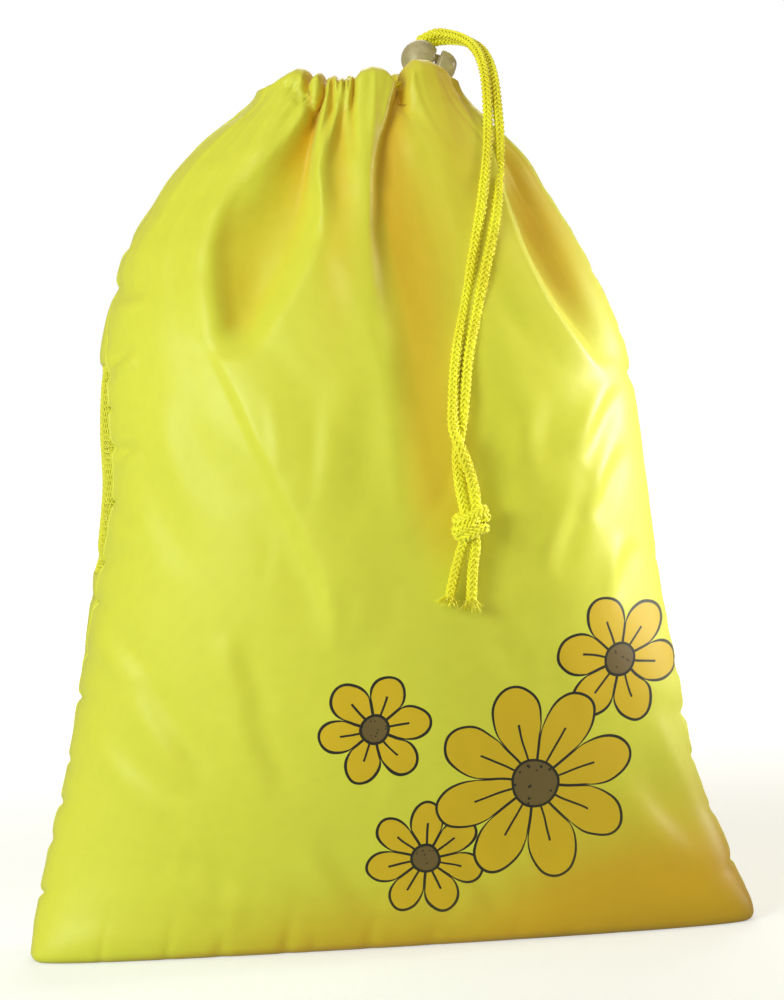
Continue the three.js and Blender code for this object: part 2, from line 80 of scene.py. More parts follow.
# How far the seams' rolled edge, the net and its tapes lie inside the cloth's outer face
SEAM_INSET, SEAM_RADIUS = 0.75, 0.95
NET_INSET = 0.7
TAPE_INSET, TAPE_START, TAPE_END = 1.9, 0.925, 0.997

# Points along the panels' width and round the small tubes
FRONT_COLUMNS, BACK_LOWER_COLUMNS, BACK_UPPER_COLUMNS = 264, 200, 240
SEAM_SIDES, BALL_SIDES, BUTTON_SIDES, PRONG_SIDES = 10, 120, 72, 20
CORD_STEP, CASING_STEP, KNOT_STEP = 0.85, 1.2, 0.7

# The braid in shares of the cord's radius: its core, how far yarns rise and sink, where their
# middle lies, and half a yarn's thickness
BRAID_CORE, BRAID_WAVE, BRAID_MIDDLE, YARN_HALF = 0.56, 0.18, 0.74, 0.19
CORE_SIDES, YARN_SIDES = 10, 6

# Sections by share of the height: how far open from mouth width to full width, swell from the
# ends' depth to the belly's, how pointed the ends are, lean to the right, turn of the seams
SECTIONS = np.array([
    (0, 1, 0, 0.35, 0, 0), (0.023, 0.99, 0.09, 0.5, 0, 0), (0.054, 0.96, 0.19, 0.8, -0.004, 0),
    (0.1, 0.917, 0.34, 1.05, -0.006, 0), (0.145, 0.869, 0.47, 1.1, -0.01, 0),
    (0.19, 0.826, 0.59, 1.08, -0.009, 0), (0.281, 0.773, 0.78, 1.04, -0.004, 0),
    (0.395, 0.712, 0.93, 1, -0.002, 0.55), (0.531, 0.654, 1, 0.97, 0.004, 1),
    (0.6, 0.642, 0.98, 0.95, 0.001, 1), (0.668, 0.619, 0.89, 0.95, -0.002, 0.8),
    (0.713, 0.585, 0.79, 0.95, -0.007, 0.5), (0.759, 0.531, 0.67, 0.97, -0.01, 0.2),
    (0.804, 0.473, 0.53, 1, -0.015, 0), (0.849, 0.382, 0.4, 1, -0.012, 0),
    (0.895, 0.283, 0.27, 0.97, -0.007, 0), (0.94, 0.135, 0.13, 0.93, -0.004, 0),
    (0.972, 0.04, 0.05, 0.9, 0.004, 0), (1, 0, 0, 0.9, 0.009, 0),
])
OPEN, SWELL, POINT, LEAN, TURN = range(1, 6)

# Folds of the front, seen from the front. Each is a line from the mouth down, with rows of height,
# place across, depth, and half widths to the left and to the right. A depth under 0 is a ridge.
FRONT_FOLDS = {
    "left_trough": [
        (349, -12.3, 3, 1.6, 1.8), (341, -12.2, 4.6, 2, 2.2), (333, -14.5, 7, 4, 2.4),
        (325, -17, 8.6, 8, 2.6), (315, -19.8, 10, 15, 3.4), (305, -22.4, 11, 23, 6),
        (292, -26.6, 11.6, 30, 12), (281, -31, 11.4, 32, 16), (270, -36, 11, 29, 15),
        (260, -41.6, 9.6, 22, 14), (251, -46.6, 6.6, 16, 12), (243, -51, 2.8, 14, 12),
        (237, -54, 0, 12, 12),
    ],
    "dent_rim": [
        (322, -34, 0, 8, 8), (312, -42, -0.8, 9, 9), (303, -51, -1.3, 10, 9),
        (292, -59, -1.6, 11, 9), (279, -62.6, -1.7, 12, 9), (263, -63.2, -1.5, 12, 9),
        (248, -60, -1, 12, 10), (240, -55, 0, 12, 12),
    ],
    "dent_hollow": [
        (308, -43, 0, 8, 20), (292, -48, 1.8, 9, 24), (279, -51, 2.6, 9, 26),
        (263, -51.5, 2.8, 9, 24), (250, -50, 1.9, 9, 18), (240, -50, 0, 9, 14),
    ],
    "hump_end": [
        (350, -19, 2, 1.8, 1.4), (343, -18.6, 3.4, 2.2, 1.6), (336, -17.8, 3.6, 2.6, 1.8),
        (329, -17.4, 1.8, 3, 2.2), (323, -17.4, 0, 3, 2.4),
    ],
    "first_gather": [
        (350, -8.8, 2.2, 1.7, 1.7), (341, -8.8, 3.8, 2.2, 1.9), (333, -9.4, 3.4, 2.6, 2),
        (325, -11.2, 2.2, 2.8, 2.2), (317, -13.2, 0, 3, 2.4),
    ],
    "first_crinkle": [
        (350, -6.2, 2.4, 1, 0.9), (343, -6.4, 2, 1.1, 1), (337, -6.8, 0, 1.4, 1.2),
    ],
    "second_crinkle": [
        (350, -4.1, 1.8, 0.9, 1), (343, -4, 2.2, 1, 1.1), (335, -3.8, 0, 1.4, 1.4),
    ],
    "third_crinkle": [
        (350, -2.3, 2.2, 0.9, 0.9), (343, -2.3, 1.6, 1, 1), (338, -2.4, 0, 1.2, 1.2),
    ],
    "third_gather": [
        (350, 0, 3.2, 1.4, 1.4), (341, -0.4, 4, 1.8, 1.6), (332, -1.4, 3.2, 2.4, 2),
        (322, -2.2, 1.8, 3.2, 2.8), (310, -2.6, 0, 4, 4),
    ],
    "pleat_dimple": [
        (340, -4.6, 0, 2.6, 2.6), (331, -5, 2.8, 3.6, 3.6), (321, -6.4, 3.8, 5, 5),
        (311, -8, 2.8, 6, 6.5), (299, -9, 1.3, 7, 8), (288, -9.5, 0, 8, 8),
    ],
    "pleat_edge": [
        (331, -9.4, 0, 2, 3), (325, -11, -1.4, 2, 3.6), (318, -13.6, -2.2, 2.2, 4.4),
        (308, -16.2, -2.4, 2.2, 5.5), (298, -15.8, -2.2, 2.4, 7), (290, -16.6, -1.8, 3.2, 8),
        (280, -21.8, -1.2, 4.5, 9), (266, -31, 0, 6, 10),
    ],
    "centre_trough": [
        (350, 18.6, 6, 2, 3), (344, 18, 7.6, 2.2, 3.6), (337, 16.6, 7, 2.6, 6),
        (330, 14.4, 5.4, 2.8, 9), (321, 11.4, 4.8, 3, 13), (312, 9, 4.6, 3.2, 17),
        (300, 7.6, 4.2, 4.6, 24), (285, 8.6, 4, 7.5, 30), (262, 12.2, 3.9, 12, 34),
        (240, 16, 3.9, 15, 38), (214, 19.6, 3.7, 17, 40), (188, 24, 3.1, 20, 40),
        (164, 28, 2, 22, 38), (135, 31, 0, 24, 36),
    ],
    "centre_pleat": [
        (350, 8.5, -1, 6, 6), (330, 6.6, -2.2, 8, 4), (306, 3.2, -3, 10, 3.6),
        (283, 1.2, -2.8, 15, 4.6), (262, 0, -1.9, 20, 8), (234, -4, 0, 26, 14),
    ],
    "casing_crease": [
        (345, -31, 0, 2, 2), (341, -26.5, 1.8, 2.4, 2.4), (336.5, -21, 2.4, 2.6, 2.6),
        (332, -16.5, 0, 3, 2.5),
    ],
    "left_hump": [
        (350, -25, -0.6, 6, 5), (338, -29, -2, 10, 7), (322, -36, -1.4, 14, 9),
        (306, -46, 0, 16, 12),
    ],
    "right_pleat": [
        (350, 30, -0.8, 8, 9), (330, 34, -2.2, 12, 14), (300, 39, -2.6, 18, 13),
        (270, 50, -1.4, 22, 16), (244, 60, 0, 26, 20),
    ],
    "right_pocket": [
        (342, 47, 0, 2.5, 6), (326, 53.6, 4.5, 3, 12), (312, 56.8, 8, 3.6, 16),
        (300, 59.6, 10, 4.2, 20), (289, 62.2, 11, 4.4, 23), (280, 65, 11, 4.6, 25),
        (270, 68.6, 10.6, 4.8, 25), (260, 73, 9.6, 5, 24), (250, 78.2, 7.8, 5.4, 22),
        (242, 83.4, 5.4, 5.6, 19), (234, 88.6, 2.6, 6, 15), (226, 94, 0, 7, 12),
    ],
    "right_ridge": [
        (340, 46.5, 0, 8, 2.2), (333, 48.8, -1.6, 10, 2.4), (308, 52.8, -2.8, 16, 2.8),
        (289, 56, -3.2, 20, 3), (271, 61.4, -3.4, 22, 3.2), (254, 69, -3, 22, 3.6),
        (241, 77, -2.2, 20, 4), (230, 84.5, -1.2, 16, 4.6), (222, 91, 0, 12, 6),
    ],
    "rim_crinkle": [
        (349, 38, 1.2, 2.2, 2), (341, 39.5, 2, 2.4, 2), (330, 44.5, 1.2, 3, 2.6),
        (322, 47, 0, 3, 3),
    ],
    "long_ridge": [
        (250, -62, 0, 8, 10), (238, -56.5, -1.4, 7, 22), (221, -49.6, -2.4, 6.5, 32),
        (205, -43.8, -3.2, 5.8, 38), (190, -37.5, -3.3, 5.6, 40), (171, -29, -3.2, 5.6, 40),
        (152, -21.5, -2.6, 6, 36), (137, -18, -1.5, 6.5, 30), (122, -19, 0, 8, 24),
    ],
    "ridge_trough": [
        (214, -66, 0, 14, 11), (196, -55, 0.9, 18, 10), (176, -43.5, 1.5, 18, 9),
        (158, -34, 1.4, 17, 8.5), (144, -29, 0.8, 15, 8.5), (130, -28, 0, 14, 9),
    ],
    "right_swell": [
        (250, 84, 0, 24, 20), (200, 80, -2.6, 34, 26), (140, 80, -3, 40, 28), (90, 88, 0, 40, 34),
    ],
}

# Folds with a crease at their bottom instead of a round hollow
SHARP_FOLDS = {
    "hump_end", "first_gather", "first_crinkle", "second_crinkle", "third_crinkle", "third_gather",
    "casing_crease", "rim_crinkle", "right_ridge", "pleat_edge",
}

# Folds whose narrow, deep parts get painted shade, warmer and darker where shade falls in them
PAINTED_SHADE_FOLDS = {
    "left_trough", "hump_end", "first_gather", "first_crinkle", "second_crinkle", "third_crinkle",
    "third_gather", "pleat_dimple",
}

# Painted shade in the open cloth's valleys, warmer where shade falls: rows of height, place,
# strength of the painted shade, half width to the left and right
PAINTED_SHADE_VALLEYS = [
    [
        (350, 19, 5, 3, 4), (335, 17, 6, 3, 8), (322, 12.5, 6.2, 3, 13), (308, 9.5, 6, 3, 20),
        (292, 9.5, 5.6, 5, 27), (272, 13, 5.6, 8, 31), (250, 17, 5.6, 13, 30),
        (225, 20, 5.6, 20, 26), (200, 22.5, 5.4, 26, 22), (180, 24, 5, 28, 19),
        (160, 26, 3.4, 26, 18), (140, 28, 0, 24, 18),
    ],
    [
        (330, 60, 0, 8, 16), (310, 64, 3, 8, 20), (280, 72, 4, 9, 24), (258, 80, 3.2, 8, 18),
        (240, 88, 0, 8, 14),
    ],
    [
        (350, 30, 1.6, 14, 14), (320, 33, 2.2, 18, 18), (285, 40, 1.8, 24, 20),
        (250, 46, 0, 24, 20),
    ],
    [
        (330, -5, 0, 6, 6), (300, -7, 3.4, 9, 10), (270, -12, 3.2, 14, 18), (240, -15, 2.4, 18, 22),
        (210, -18, 0, 18, 22),
    ],
    [
        (302, -46, 0, 10, 14), (285, -48, 1.8, 15, 17), (265, -50, 2.8, 14, 15),
        (250, -52, 2.2, 10, 12), (240, -54, 0, 9, 10),
    ],
]

# Wrinkles of the front: both ends (across and height), depth and half width
FRONT_WRINKLES = [
    (-108, 136, -94, 112, 0.9, 4), (-95, 118, -76, 72, 1.1, 5), (-57, 132, -52, 100, 0.9, 4.5),
    (-54, 108, -44, 66, 0.8, 5), (-112, 96, -86, 60, 0.6, 5), (-104, 236, -90, 239, 1.2, 2.2),
    (-105, 198, -90, 202, 1.3, 2.2), (-100, 262, -84, 262, 0.8, 2.6),
    (-104, 174, -92, 171, 0.8, 2.4), (99, 220, 76, 192, 1, 4), (98, 196, 80, 168, 0.9, 3.6),
    (84, 180, 62, 152, 0.9, 4.5), (100, 158, 88, 136, 0.8, 3.6), (70, 216, 58, 190, 0.5, 5),
    (-76, 226, -66, 176, 0.6, 6), (-88, 196, -78, 150, 0.6, 6), (-20, 108, 4, 78, 0.5, 6),
    (-84, 44, -56, 20, 0.6, 5), (-30, 50, -12, 14, 0.6, 5), (20, 52, 38, 12, 0.5, 5),
    (96, 70, 120, 26, 0.9, 6), (112, 92, 128, 50, 0.7, 5), (-2, 232, -10, 176, 0.5, 7),
    (44, 250, 40, 176, 0.5, 8),
]

# Height of the rim at places across the front
FRONT_RIM = np.array([
    (-36, 342.5), (-32, 344), (-28, 346.6), (-24, 348.2), (-21, 347.2), (-18.6, 341.8),
    (-16.8, 344.6), (-14.4, 346.2), (-12.2, 340.6), (-10.2, 343.4), (-8.2, 345), (-6.2, 341.8),
    (-5.2, 344.4), (-4.1, 341.8), (-3.1, 344.2), (-2.2, 341.8), (-1, 345), (0.2, 342.6), (3, 346),
    (8, 347.4), (12.5, 346.4), (15.8, 343), (18.9, 337.8), (21.4, 339.6), (23.2, 346), (27, 349.6),
    (32, 349.3), (36, 347.6), (38.5, 344.8), (41.5, 342.8),
])
BACK_RIM = np.array([
    (-36, 342.5), (-31, 345.8), (-26, 343), (-20, 347), (-15, 341), (-9, 346.6), (-4, 343.5),
    (0, 347.2), (5, 341.2), (11, 346.8), (15, 343.8), (21, 346.6), (27, 344.6), (33, 346),
    (37, 343), (41.5, 342.8),
])

# Folds of the back, by place from seam to seam instead: depth and half widths in the same shares
BACK_FOLDS = [
    [
        (350, -0.72, 2.5, 0.1, 0.12), (320, -0.69, 5, 0.12, 0.16), (290, -0.66, 3.5, 0.2, 0.2),
        (240, -0.64, 0, 0.22, 0.22),
    ],
    [
        (350, -0.45, 5, 0.07, 0.08), (325, -0.47, 8.5, 0.1, 0.12), (290, -0.5, 6, 0.16, 0.2),
        (225, -0.52, 0, 0.2, 0.24),
    ],
    [
        (350, -0.18, 4.5, 0.06, 0.06), (332, -0.17, 4.5, 0.07, 0.08), (300, -0.15, 2, 0.1, 0.1),
        (272, -0.14, 0, 0.12, 0.12),
    ],
    [
        (350, 0.06, 5, 0.07, 0.07), (322, 0.07, 9, 0.1, 0.1), (280, 0.08, 5.5, 0.18, 0.2),
        (212, 0.1, 0, 0.24, 0.26),
    ],
    [
        (350, 0.33, 2.5, 0.06, 0.06), (330, 0.34, 3.5, 0.08, 0.08), (296, 0.36, 0, 0.12, 0.12),
    ],
    [
        (350, 0.8, 2.2, 0.08, 0.1), (318, 0.78, 5.5, 0.12, 0.14), (285, 0.75, 4, 0.2, 0.2),
        (235, 0.74, 0, 0.22, 0.2),
    ],
]

# Gathers below the mouth: depth, height where they start, rise to their full depth, seed, and
# the size and stretch of their noise
GATHERS = ((0.55, 120, 190, 12, 12, 9), (0.28, 210, 110, 15, 4.6, 10))

# Puckers: heights where a side seam draws in, and places where the bottom edge does
LEFT_PUCKERS = (282, 265, 246, 232, 219, 204, 182, 158, 143, 123, 104, 79, 62, 47, 26)
RIGHT_PUCKERS = (262, 239, 221, 203, 187, 171, 149, 134, 118, 103, 84, 66, 44, 24)
BOTTOM_PUCKERS = (-118, -92, -71, -45, -34, -12, 13, 21, 47, 69, 88, 112)

# The cord lock: where it sits, how it is turned, and its parts
LOCK_CENTRE = np.array([29.5, 26.5, 352.4])
LOCK_TILT = math.radians(-20.0)
HOLE_TILT = math.radians(45.0)
LOCK_RADIUS = 7.8
LOCK_FLAT = 5.2
STEM_RADIUS = 4.0
STEM_BACK = 3.4
BUTTON_TRAVEL = 2.0
CORD_CENTRE = 2.1
PRONG_OFF, PRONG_HALVES, PRONG_POINTS = 3.1, (2.3, 0.8), 8
SLOT_HALF, SLOT_RADIUS = 3.2, 2.9
# The button from its neck to its end: along the axis and from it
BUTTON_PROFILE = np.array([
    (6.1, 0.05), (6.1, 4), (7, 4), (7.3, 4.15), (7.4, 4.5), (7.4, 5.5), (7.5, 5.95), (7.8, 6.15),
    (8.3, 6.2), (9.2, 6.2), (10.2, 6.1), (11.1, 5.85), (12, 5.45), (12.9, 4.9), (13.6, 4.3),
    (14.2, 3.55), (14.6, 2.7), (14.8, 1.7), (14.85, 0.8), (14.86, 0.05),
])

# Routes of the cord: round the casing, the two free strands, and their tails under the knot
CASING_ROUTE = [
    (19, 17, 341.8), (12.5, 16.4, 340), (4, 17.2, 340.2), (-6, 17, 340), (-14.5, 15, 339.4),
    (-22, 11.8, 338.5), (-27.4, 7, 337.8), (-29.6, 0, 337.5), (-27.4, -7, 337.8),
    (-22, -11.8, 338.5), (-14, -15.3, 339.4), (-5, -17, 340), (5, -17.3, 340.2),
    (14.5, -15.9, 339.8), (23, -12.9, 338.8), (29.5, -8, 337.9), (32.4, -1, 337.5),
    (32.2, 4.6, 337.6), (31, 10.6, 339),
]
LEFT_STRAND = [
    (32.5, 33.4, 361.4), (37, 31.4, 362.8), (42, 26.5, 361.6), (47, 18, 358.8), (50.6, 8.5, 354),
    (52.3, -0.5, 347.2), (52.7, -8.5, 338), (51.9, -17, 324.5), (49.8, -27.5, 310),
    (45.9, -38.8, 291), (41.2, -45.4, 271), (36.6, -50.4, 252), (32, -57.8, 234),
    (29.6, -63.6, 217), (29, -67.2, 206.5), (31.4, -70.6, 198.5), (34.8, -67.8, 188),
    (36, -67, 175.9),
]
RIGHT_STRAND = [
    (37.5, 34.6, 360), (42.5, 32, 360), (48, 24.5, 358.6), (52.6, 15, 354.8), (55.2, 5, 348.8),
    (56.2, -3.5, 341), (56.3, -11, 331), (56, -19, 318.5), (54.4, -27, 303.5), (51, -39.4, 285),
    (45.8, -46.8, 267), (41.2, -50.8, 250), (36.8, -56.6, 234), (34, -62.2, 217.5),
    (32.2, -64, 207), (30, -65.8, 197), (30.2, -66.4, 187.5), (31.8, -67, 175.9),
]
LEFT_TAIL = [
    (34.4, -68.6, 170), (31.2, -67.4, 164), (27.4, -66.8, 153), (24.6, -66.6, 142.5),
]
RIGHT_TAIL = [
    (33.2, -67.6, 170), (35.2, -66.8, 164), (33.8, -65.9, 152.5), (32.8, -65.4, 140.5),
]
KNOT_CENTRE = np.array([33.8, -68.2, 170.2])
# Turns of cord in the knot: height, angle where each starts, reach and lean
KNOT_TURNS = ((3.4, -0.9, 1.0, 1.6), (0.2, 0.5, 1.08, 2.3), (-3.0, 2.2, 0.94, 1.2))
KNOT_POINTS = 22
FRAY_FIBRES = 190

# Lights: place, aim, size, spread in degrees, power (None where it is a setting) and colour
BAG_MIDDLE = (0.0, 0.0, 0.17)
LIGHTS = {
    "key": ((-1.05, -1.2, 0.62), BAG_MIDDLE, (0.6, 0.6), 180, None, (0.9, 1.0, 0.92)),
    "window": ((0.95, 0.12, 0.36), (0.12, 0.0, 0.19), (0.3, 0.2), 20, None, (1.0, 1.0, 0.97)),
    "top": ((0.1, -0.3, 1.5), BAG_MIDDLE, (1.2, 1.2), 180, 2.0, (1.0, 0.98, 0.94)),
    "back": ((0.2, 1.5, 1.1), BAG_MIDDLE, (1.0, 1.0), 180, 9.0, (1.0, 1.0, 0.97)),
}
AMBIENT_COLOUR = (1.0, 0.8, 0.5, 1.0)
WHITE = (1.0, 1.0, 1.0, 1.0)
FLOOR_REACH = 9000.0

# Painted shade, added as a warmer colour where cloth faces away from the bright side, and on the
# inside
AWAY_PAINTED_SHADE, INNER_PAINTED_SHADE = 3.4, 3.0
# From the bag towards the brighter side of the room
BRIGHT_SIDE = np.array([-0.67, -0.58, 0.46])

# The photograph's camera: where the middle of the picture looks, and from where
CAMERA_TARGET = (0.0079, 0.0, 0.1762)
CAMERA_AZIMUTH = math.radians(-3.0)
CAMERA_ELEVATION = math.radians(4.0)
CAMERA_ROLL = math.radians(2.8)
CAMERA_DISTANCE = 1.25
CAMERA_LENS = 112.5


# ---- Settings that a user would change


class ClothSettings(PropertyGroup):
    """Sizes and colours of the satin cloth and its print."""

    thickness: FloatProperty(
        name="Thickness", description="Thickness of the cloth", default=0.0005,
        min=0.0002, max=0.0015, unit="LENGTH",
    )
    lit: FloatVectorProperty(
        name="Lit colour", description="Colour of the cloth in the open", subtype="COLOR",
        size=4, default=(0.735, 0.757, 0.062, 1.0), min=0.0, max=1.0,
    )
    # painted shade: the colour that stands in for the shade deep in the folds
    fold: FloatVectorProperty(
        name="Fold colour", description="Colour deep in the folds", subtype="COLOR",
        size=4, default=(0.68, 0.415, 0.013, 1.0), min=0.0, max=1.0,
    )
    print_line: FloatVectorProperty(
        name="Print line", description="Colour of the printed outlines", subtype="COLOR",
        size=4, default=(0.014, 0.014, 0.01, 1.0), min=0.0, max=1.0,
    )
    print_fill: FloatVectorProperty(
        name="Print fill", description="Colour of the printed petals", subtype="COLOR",
        size=4, default=(0.72, 0.5, 0.012, 1.0), min=0.0, max=1.0,
    )
    print_disc: FloatVectorProperty(
        name="Print disc", description="Colour of the printed discs", subtype="COLOR",
        size=4, default=(0.16, 0.11, 0.035, 1.0), min=0.0, max=1.0,
    )


class CordSettings(PropertyGroup):
    """Sizes and colour of the braided cord."""

    yarns: IntProperty(
        name="Yarns", description="Yarns that turn each way round the cord", default=6,
        min=4, max=16,
    )
    lay: FloatProperty(
        name="Lay", description="Length of cord in which a yarn goes round once",
        default=0.0128, min=0.006, max=0.04, unit="LENGTH",
    )
    colour: FloatVectorProperty(
        name="Colour", description="Colour of the cord", subtype="COLOR", size=4,
        default=(1.0, 0.98, 0.03, 1.0), min=0.0, max=1.0,
    )


class NetSettings(PropertyGroup):
    """Sizes and colour of the net."""

    pitch: FloatProperty(
        name="Pitch", description="From one hole to the next", default=0.0026,
        min=0.0018, max=0.006, unit="LENGTH",
    )
    thread: FloatProperty(
        name="Thread", description="Thickness of the net's thread", default=0.0008,
        min=0.0002, max=0.001, unit="LENGTH",
    )
    colour: FloatVectorProperty(
        name="Colour", description="Colour of the net", subtype="COLOR", size=4,
        default=(0.92, 0.9, 0.05, 1.0), min=0.0, max=1.0,
    )


class LockSettings(PropertyGroup):
    """Colour of the ball lock."""

    colour: FloatVectorProperty(
        name="Colour", description="Colour of the lock", subtype="COLOR", size=4,
        default=(0.42, 0.375, 0.22, 1.0), min=0.0, max=1.0,
    )


class StageSettings(PropertyGroup):
    """Light and floor round the bag."""

    floor: FloatVectorProperty(
        name="Floor", description="Colour of the floor", subtype="COLOR", size=4,
        default=(0.6, 0.64, 0.66, 1.0), min=0.0, max=1.0,
    )
    key: FloatProperty(
        name="Key light", description="Power of the soft light at the left front",
        default=16.8, min=0.0, max=500.0, unit="POWER",
    )
    window: FloatProperty(
        name="Window light", description="Power of the bright light at the right",
        default=0.32, min=0.0, max=500.0, unit="POWER",
    )
    ambient: FloatProperty(
        name="Ambient", description="Strength of the light from all round", default=0.38,
        min=0.0, max=5.0,
    )


# ---- Plain helpers


def smooth(u):
    u = np.clip(u, 0.0, 1.0)
    return u * u * (3.0 - 2.0 * u)


def mix(a, b, u):
    return a + (b - a) * u


def ramp(value, start, span):
    """A smooth rise from 0 to 1 that starts at a value and takes a span."""
    return smooth((value - start) / span)


def unit(vectors):
    return vectors / np.maximum(np.linalg.norm(vectors, axis=-1, keepdims=True), 1e-12)


def column(key, up):
    """A smooth curve through one column of SECTIONS."""
    rows = SECTIONS
    last = len(rows) - 1
    i = np.clip(np.searchsorted(rows[:, 0], up, side="left") - 1, 0, last - 1)
    before, after = np.clip(i - 1, 0, last), np.clip(i + 2, 0, last)
    step = rows[i + 1, 0] - rows[i, 0]
    here = (rows[i + 1, key] - rows[before, key]) / (rows[i + 1, 0] - rows[before, 0])
    there = (rows[after, key] - rows[i, key]) / (rows[after, 0] - rows[i, 0])
    u = np.clip((up - rows[i, 0]) / step, 0.0, 1.0)
    bend = step * u * (1 - u) * ((1 - u) * here - u * there)
    return mix(rows[i, key], rows[i + 1, key], smooth(u)) + bend


def outline(side, s, z):
    """The bag's smooth outline at a height. s runs from -1 at the left seam to 1 at the right."""
    up = z / BAG_HEIGHT
    half_width = mix(MOUTH_WIDTH, BAG_WIDTH, column(OPEN, up)) / 2
    ends = np.where(z < BELLY_HEIGHT, BASE_DEPTH, MOUTH_DEPTH)
    half_depth = mix(ends, BELLY_DEPTH, column(SWELL, up)) / 2
    left = math.pi / 2 + side * column(TURN, up) * SEAM_TURN
    angle = mix(-left, math.pi / 2, (s + 1) / 2)
    cos = np.cos(angle)
    deep = np.sign(cos) * np.abs(cos) ** column(POINT, up)
    x = column(LEAN, up) * BAG_WIDTH + half_width * np.sin(angle)
    return np.stack([x, side * half_depth * deep], axis=-1)


def outward(side, s, z):
    """The level direction that points out of the bag."""
    step = 0.004
    along = unit(outline(side, s + step, z) - outline(side, s - step, z))
    return np.stack([-side * along[..., 1], side * along[..., 0]], axis=-1)


def cloth_noise(x, z, seed, size, stretch=1.0):
    """Smooth noise from -1 to 1 with bumps of about one size, longer in height by stretch."""
    grid = np.random.default_rng(seed).uniform(-1.0, 1.0, (64, 64))
    u, v = x / size + 7.3, z / (size * stretch) + 3.1
    iu, iv = np.floor(u).astype(int), np.floor(v).astype(int)
    fu, fv = smooth(u - iu), smooth(v - iv)
    near = mix(grid[iu % 64, iv % 64], grid[(iu + 1) % 64, iv % 64], fu)
    far = mix(grid[iu % 64, (iv + 1) % 64], grid[(iu + 1) % 64, (iv + 1) % 64], fu)
    return mix(near, far, fv)


def along_line(rows, z):
    """A fold's place, depth and half widths at heights z. The depth is 0 past its lower end."""
    table = np.array(sorted(rows))
    return [np.interp(z, table[:, 0], table[:, k]) for k in (1, 2, 3, 4)]


def narrowness(rows, z):
    """Over 1 where a fold is narrow, under 1 where it is wide."""
    _, _, left, right = along_line(rows, z)
    return np.clip(13.0 / (left + right), 0.15, 2.0) ** 0.8


def fold_depth(rows, across, z, sharp, reach=1.0):
    """How deep one fold is at places across and heights z. Its sides end at reach half widths."""
    place, depth, left, right = along_line(rows, z)
    width = np.where(across < place, left, right) * reach
    off = np.clip(np.abs(across - place) / width, 0.0, 1.0)
    if sharp:
        return depth * (1 - off) ** 1.6 * (1 + 0.6 * off)
    top = ramp(z, 300.0, 40.0)
    return depth * mix(np.cos(off * math.pi / 2) ** 2, (1 - off) ** 1.8 * (1 + 0.8 * off), top)


def pucker_depth(side, s, x, z):
    """How far the puckers at the side seams and at the bottom edge draw the cloth in."""
    total = np.zeros_like(z)
    for end, heights in ((-1, LEFT_PUCKERS), (1, RIGHT_PUCKERS)):
        edge = np.clip(1 - end * s, 0.0, None)
        for k, height in enumerate(heights):
            reach = 0.1 + 0.07 * math.sin(5.1 * height)
            tall = 2.1 + 0.7 * math.sin(2.3 * height + k)
            slant = 26.0 * math.sin(1.7 * height + side) * edge
            hollow = np.exp(-(((z - height + slant) / (tall * (1 + 4 * edge))) ** 2))
            strength = 1.9 + 0.6 * math.sin(3.7 * height)
            total += strength * hollow * np.exp(-((edge / reach) ** 1.3))
    for k, place in enumerate(BOTTOM_PUCKERS):
        reach = 9.0 + 5.0 * math.sin(1.9 * place)
        wide = 2.4 + 1.0 * math.sin(0.7 * place + k)
        hollow = np.exp(-(((x - place - 0.25 * z) / wide) ** 2))
        total += (0.75 + 0.45 * math.sin(2.9 * place)) * hollow * np.exp(-(z / reach) ** 1.4)
    return total


def wrinkle_depth(rows, x, z):
    """Low steps in the cloth along short lines."""
    total = np.zeros_like(z)
    for x0, z0, x1, z1, depth, half_width in rows:
        length = math.hypot(x1 - x0, z1 - z0)
        ahead = (x1 - x0) / length, (z1 - z0) / length
        along = ((x - x0) * ahead[0] + (z - z0) * ahead[1]) / length
        off = (-(x - x0) * ahead[1] + (z - z0) * ahead[0]) / half_width
        off = off + 0.5 * np.sin(3.0 * along + depth)
        taper = np.sin(math.pi * np.clip(along, 0.0, 1.0)) ** 0.8
        total += depth * taper * off * np.exp(0.5 - 0.5 * off**2)
    return total


def stray_wrinkles(seed, count):
    """Faint wrinkles that fall away from the mouth and run in from the seams."""
    chance = np.random.default_rng(seed)
    rows = []
    for _ in range(count):
        x, z = chance.uniform(-120.0, 120.0), chance.uniform(25.0, 270.0)
        lean = 0.55 * x / 120.0 + chance.normal(0.0, 0.35)
        long = chance.uniform(16.0, 52.0)
        rows.append((x, z, x + long * math.sin(lean), z - long * math.cos(lean),
                     chance.uniform(0.12, 0.34), chance.uniform(2.4, 5.5)))
    return rows


STRAY_WRINKLES = stray_wrinkles(seed=17, count=44)


def painted_front_shade(folds, x, z, high):
    """Painted shade of the front, warmer where shade falls: in its folds, its valleys, its upper
    part and its right side.
    """
    painted_shade = np.zeros_like(z)
    # painted shade deep in the narrow folds, and a little in all the others
    for name, deep in folds.items():
        if name in PAINTED_SHADE_FOLDS:
            rows = FRONT_FOLDS[name]
            core = np.maximum(fold_depth(rows, x, z, name in SHARP_FOLDS, 0.7), 0.0)
            painted_shade += core * mix(0.45, 0.9, high) * narrowness(rows, z)
        else:
            painted_shade += 0.2 * np.maximum(deep, 0.0)
    for rows in PAINTED_SHADE_VALLEYS:
        painted_shade += fold_depth(rows, x, z, False)
    # painted shade over the upper part and towards the right side
    painted_shade += 1.7 * ramp(z, 215.0, 80.0)
    return painted_shade + 0.8 * ramp(x, -10.0, 60.0) * ramp(z, 120.0, 60.0)


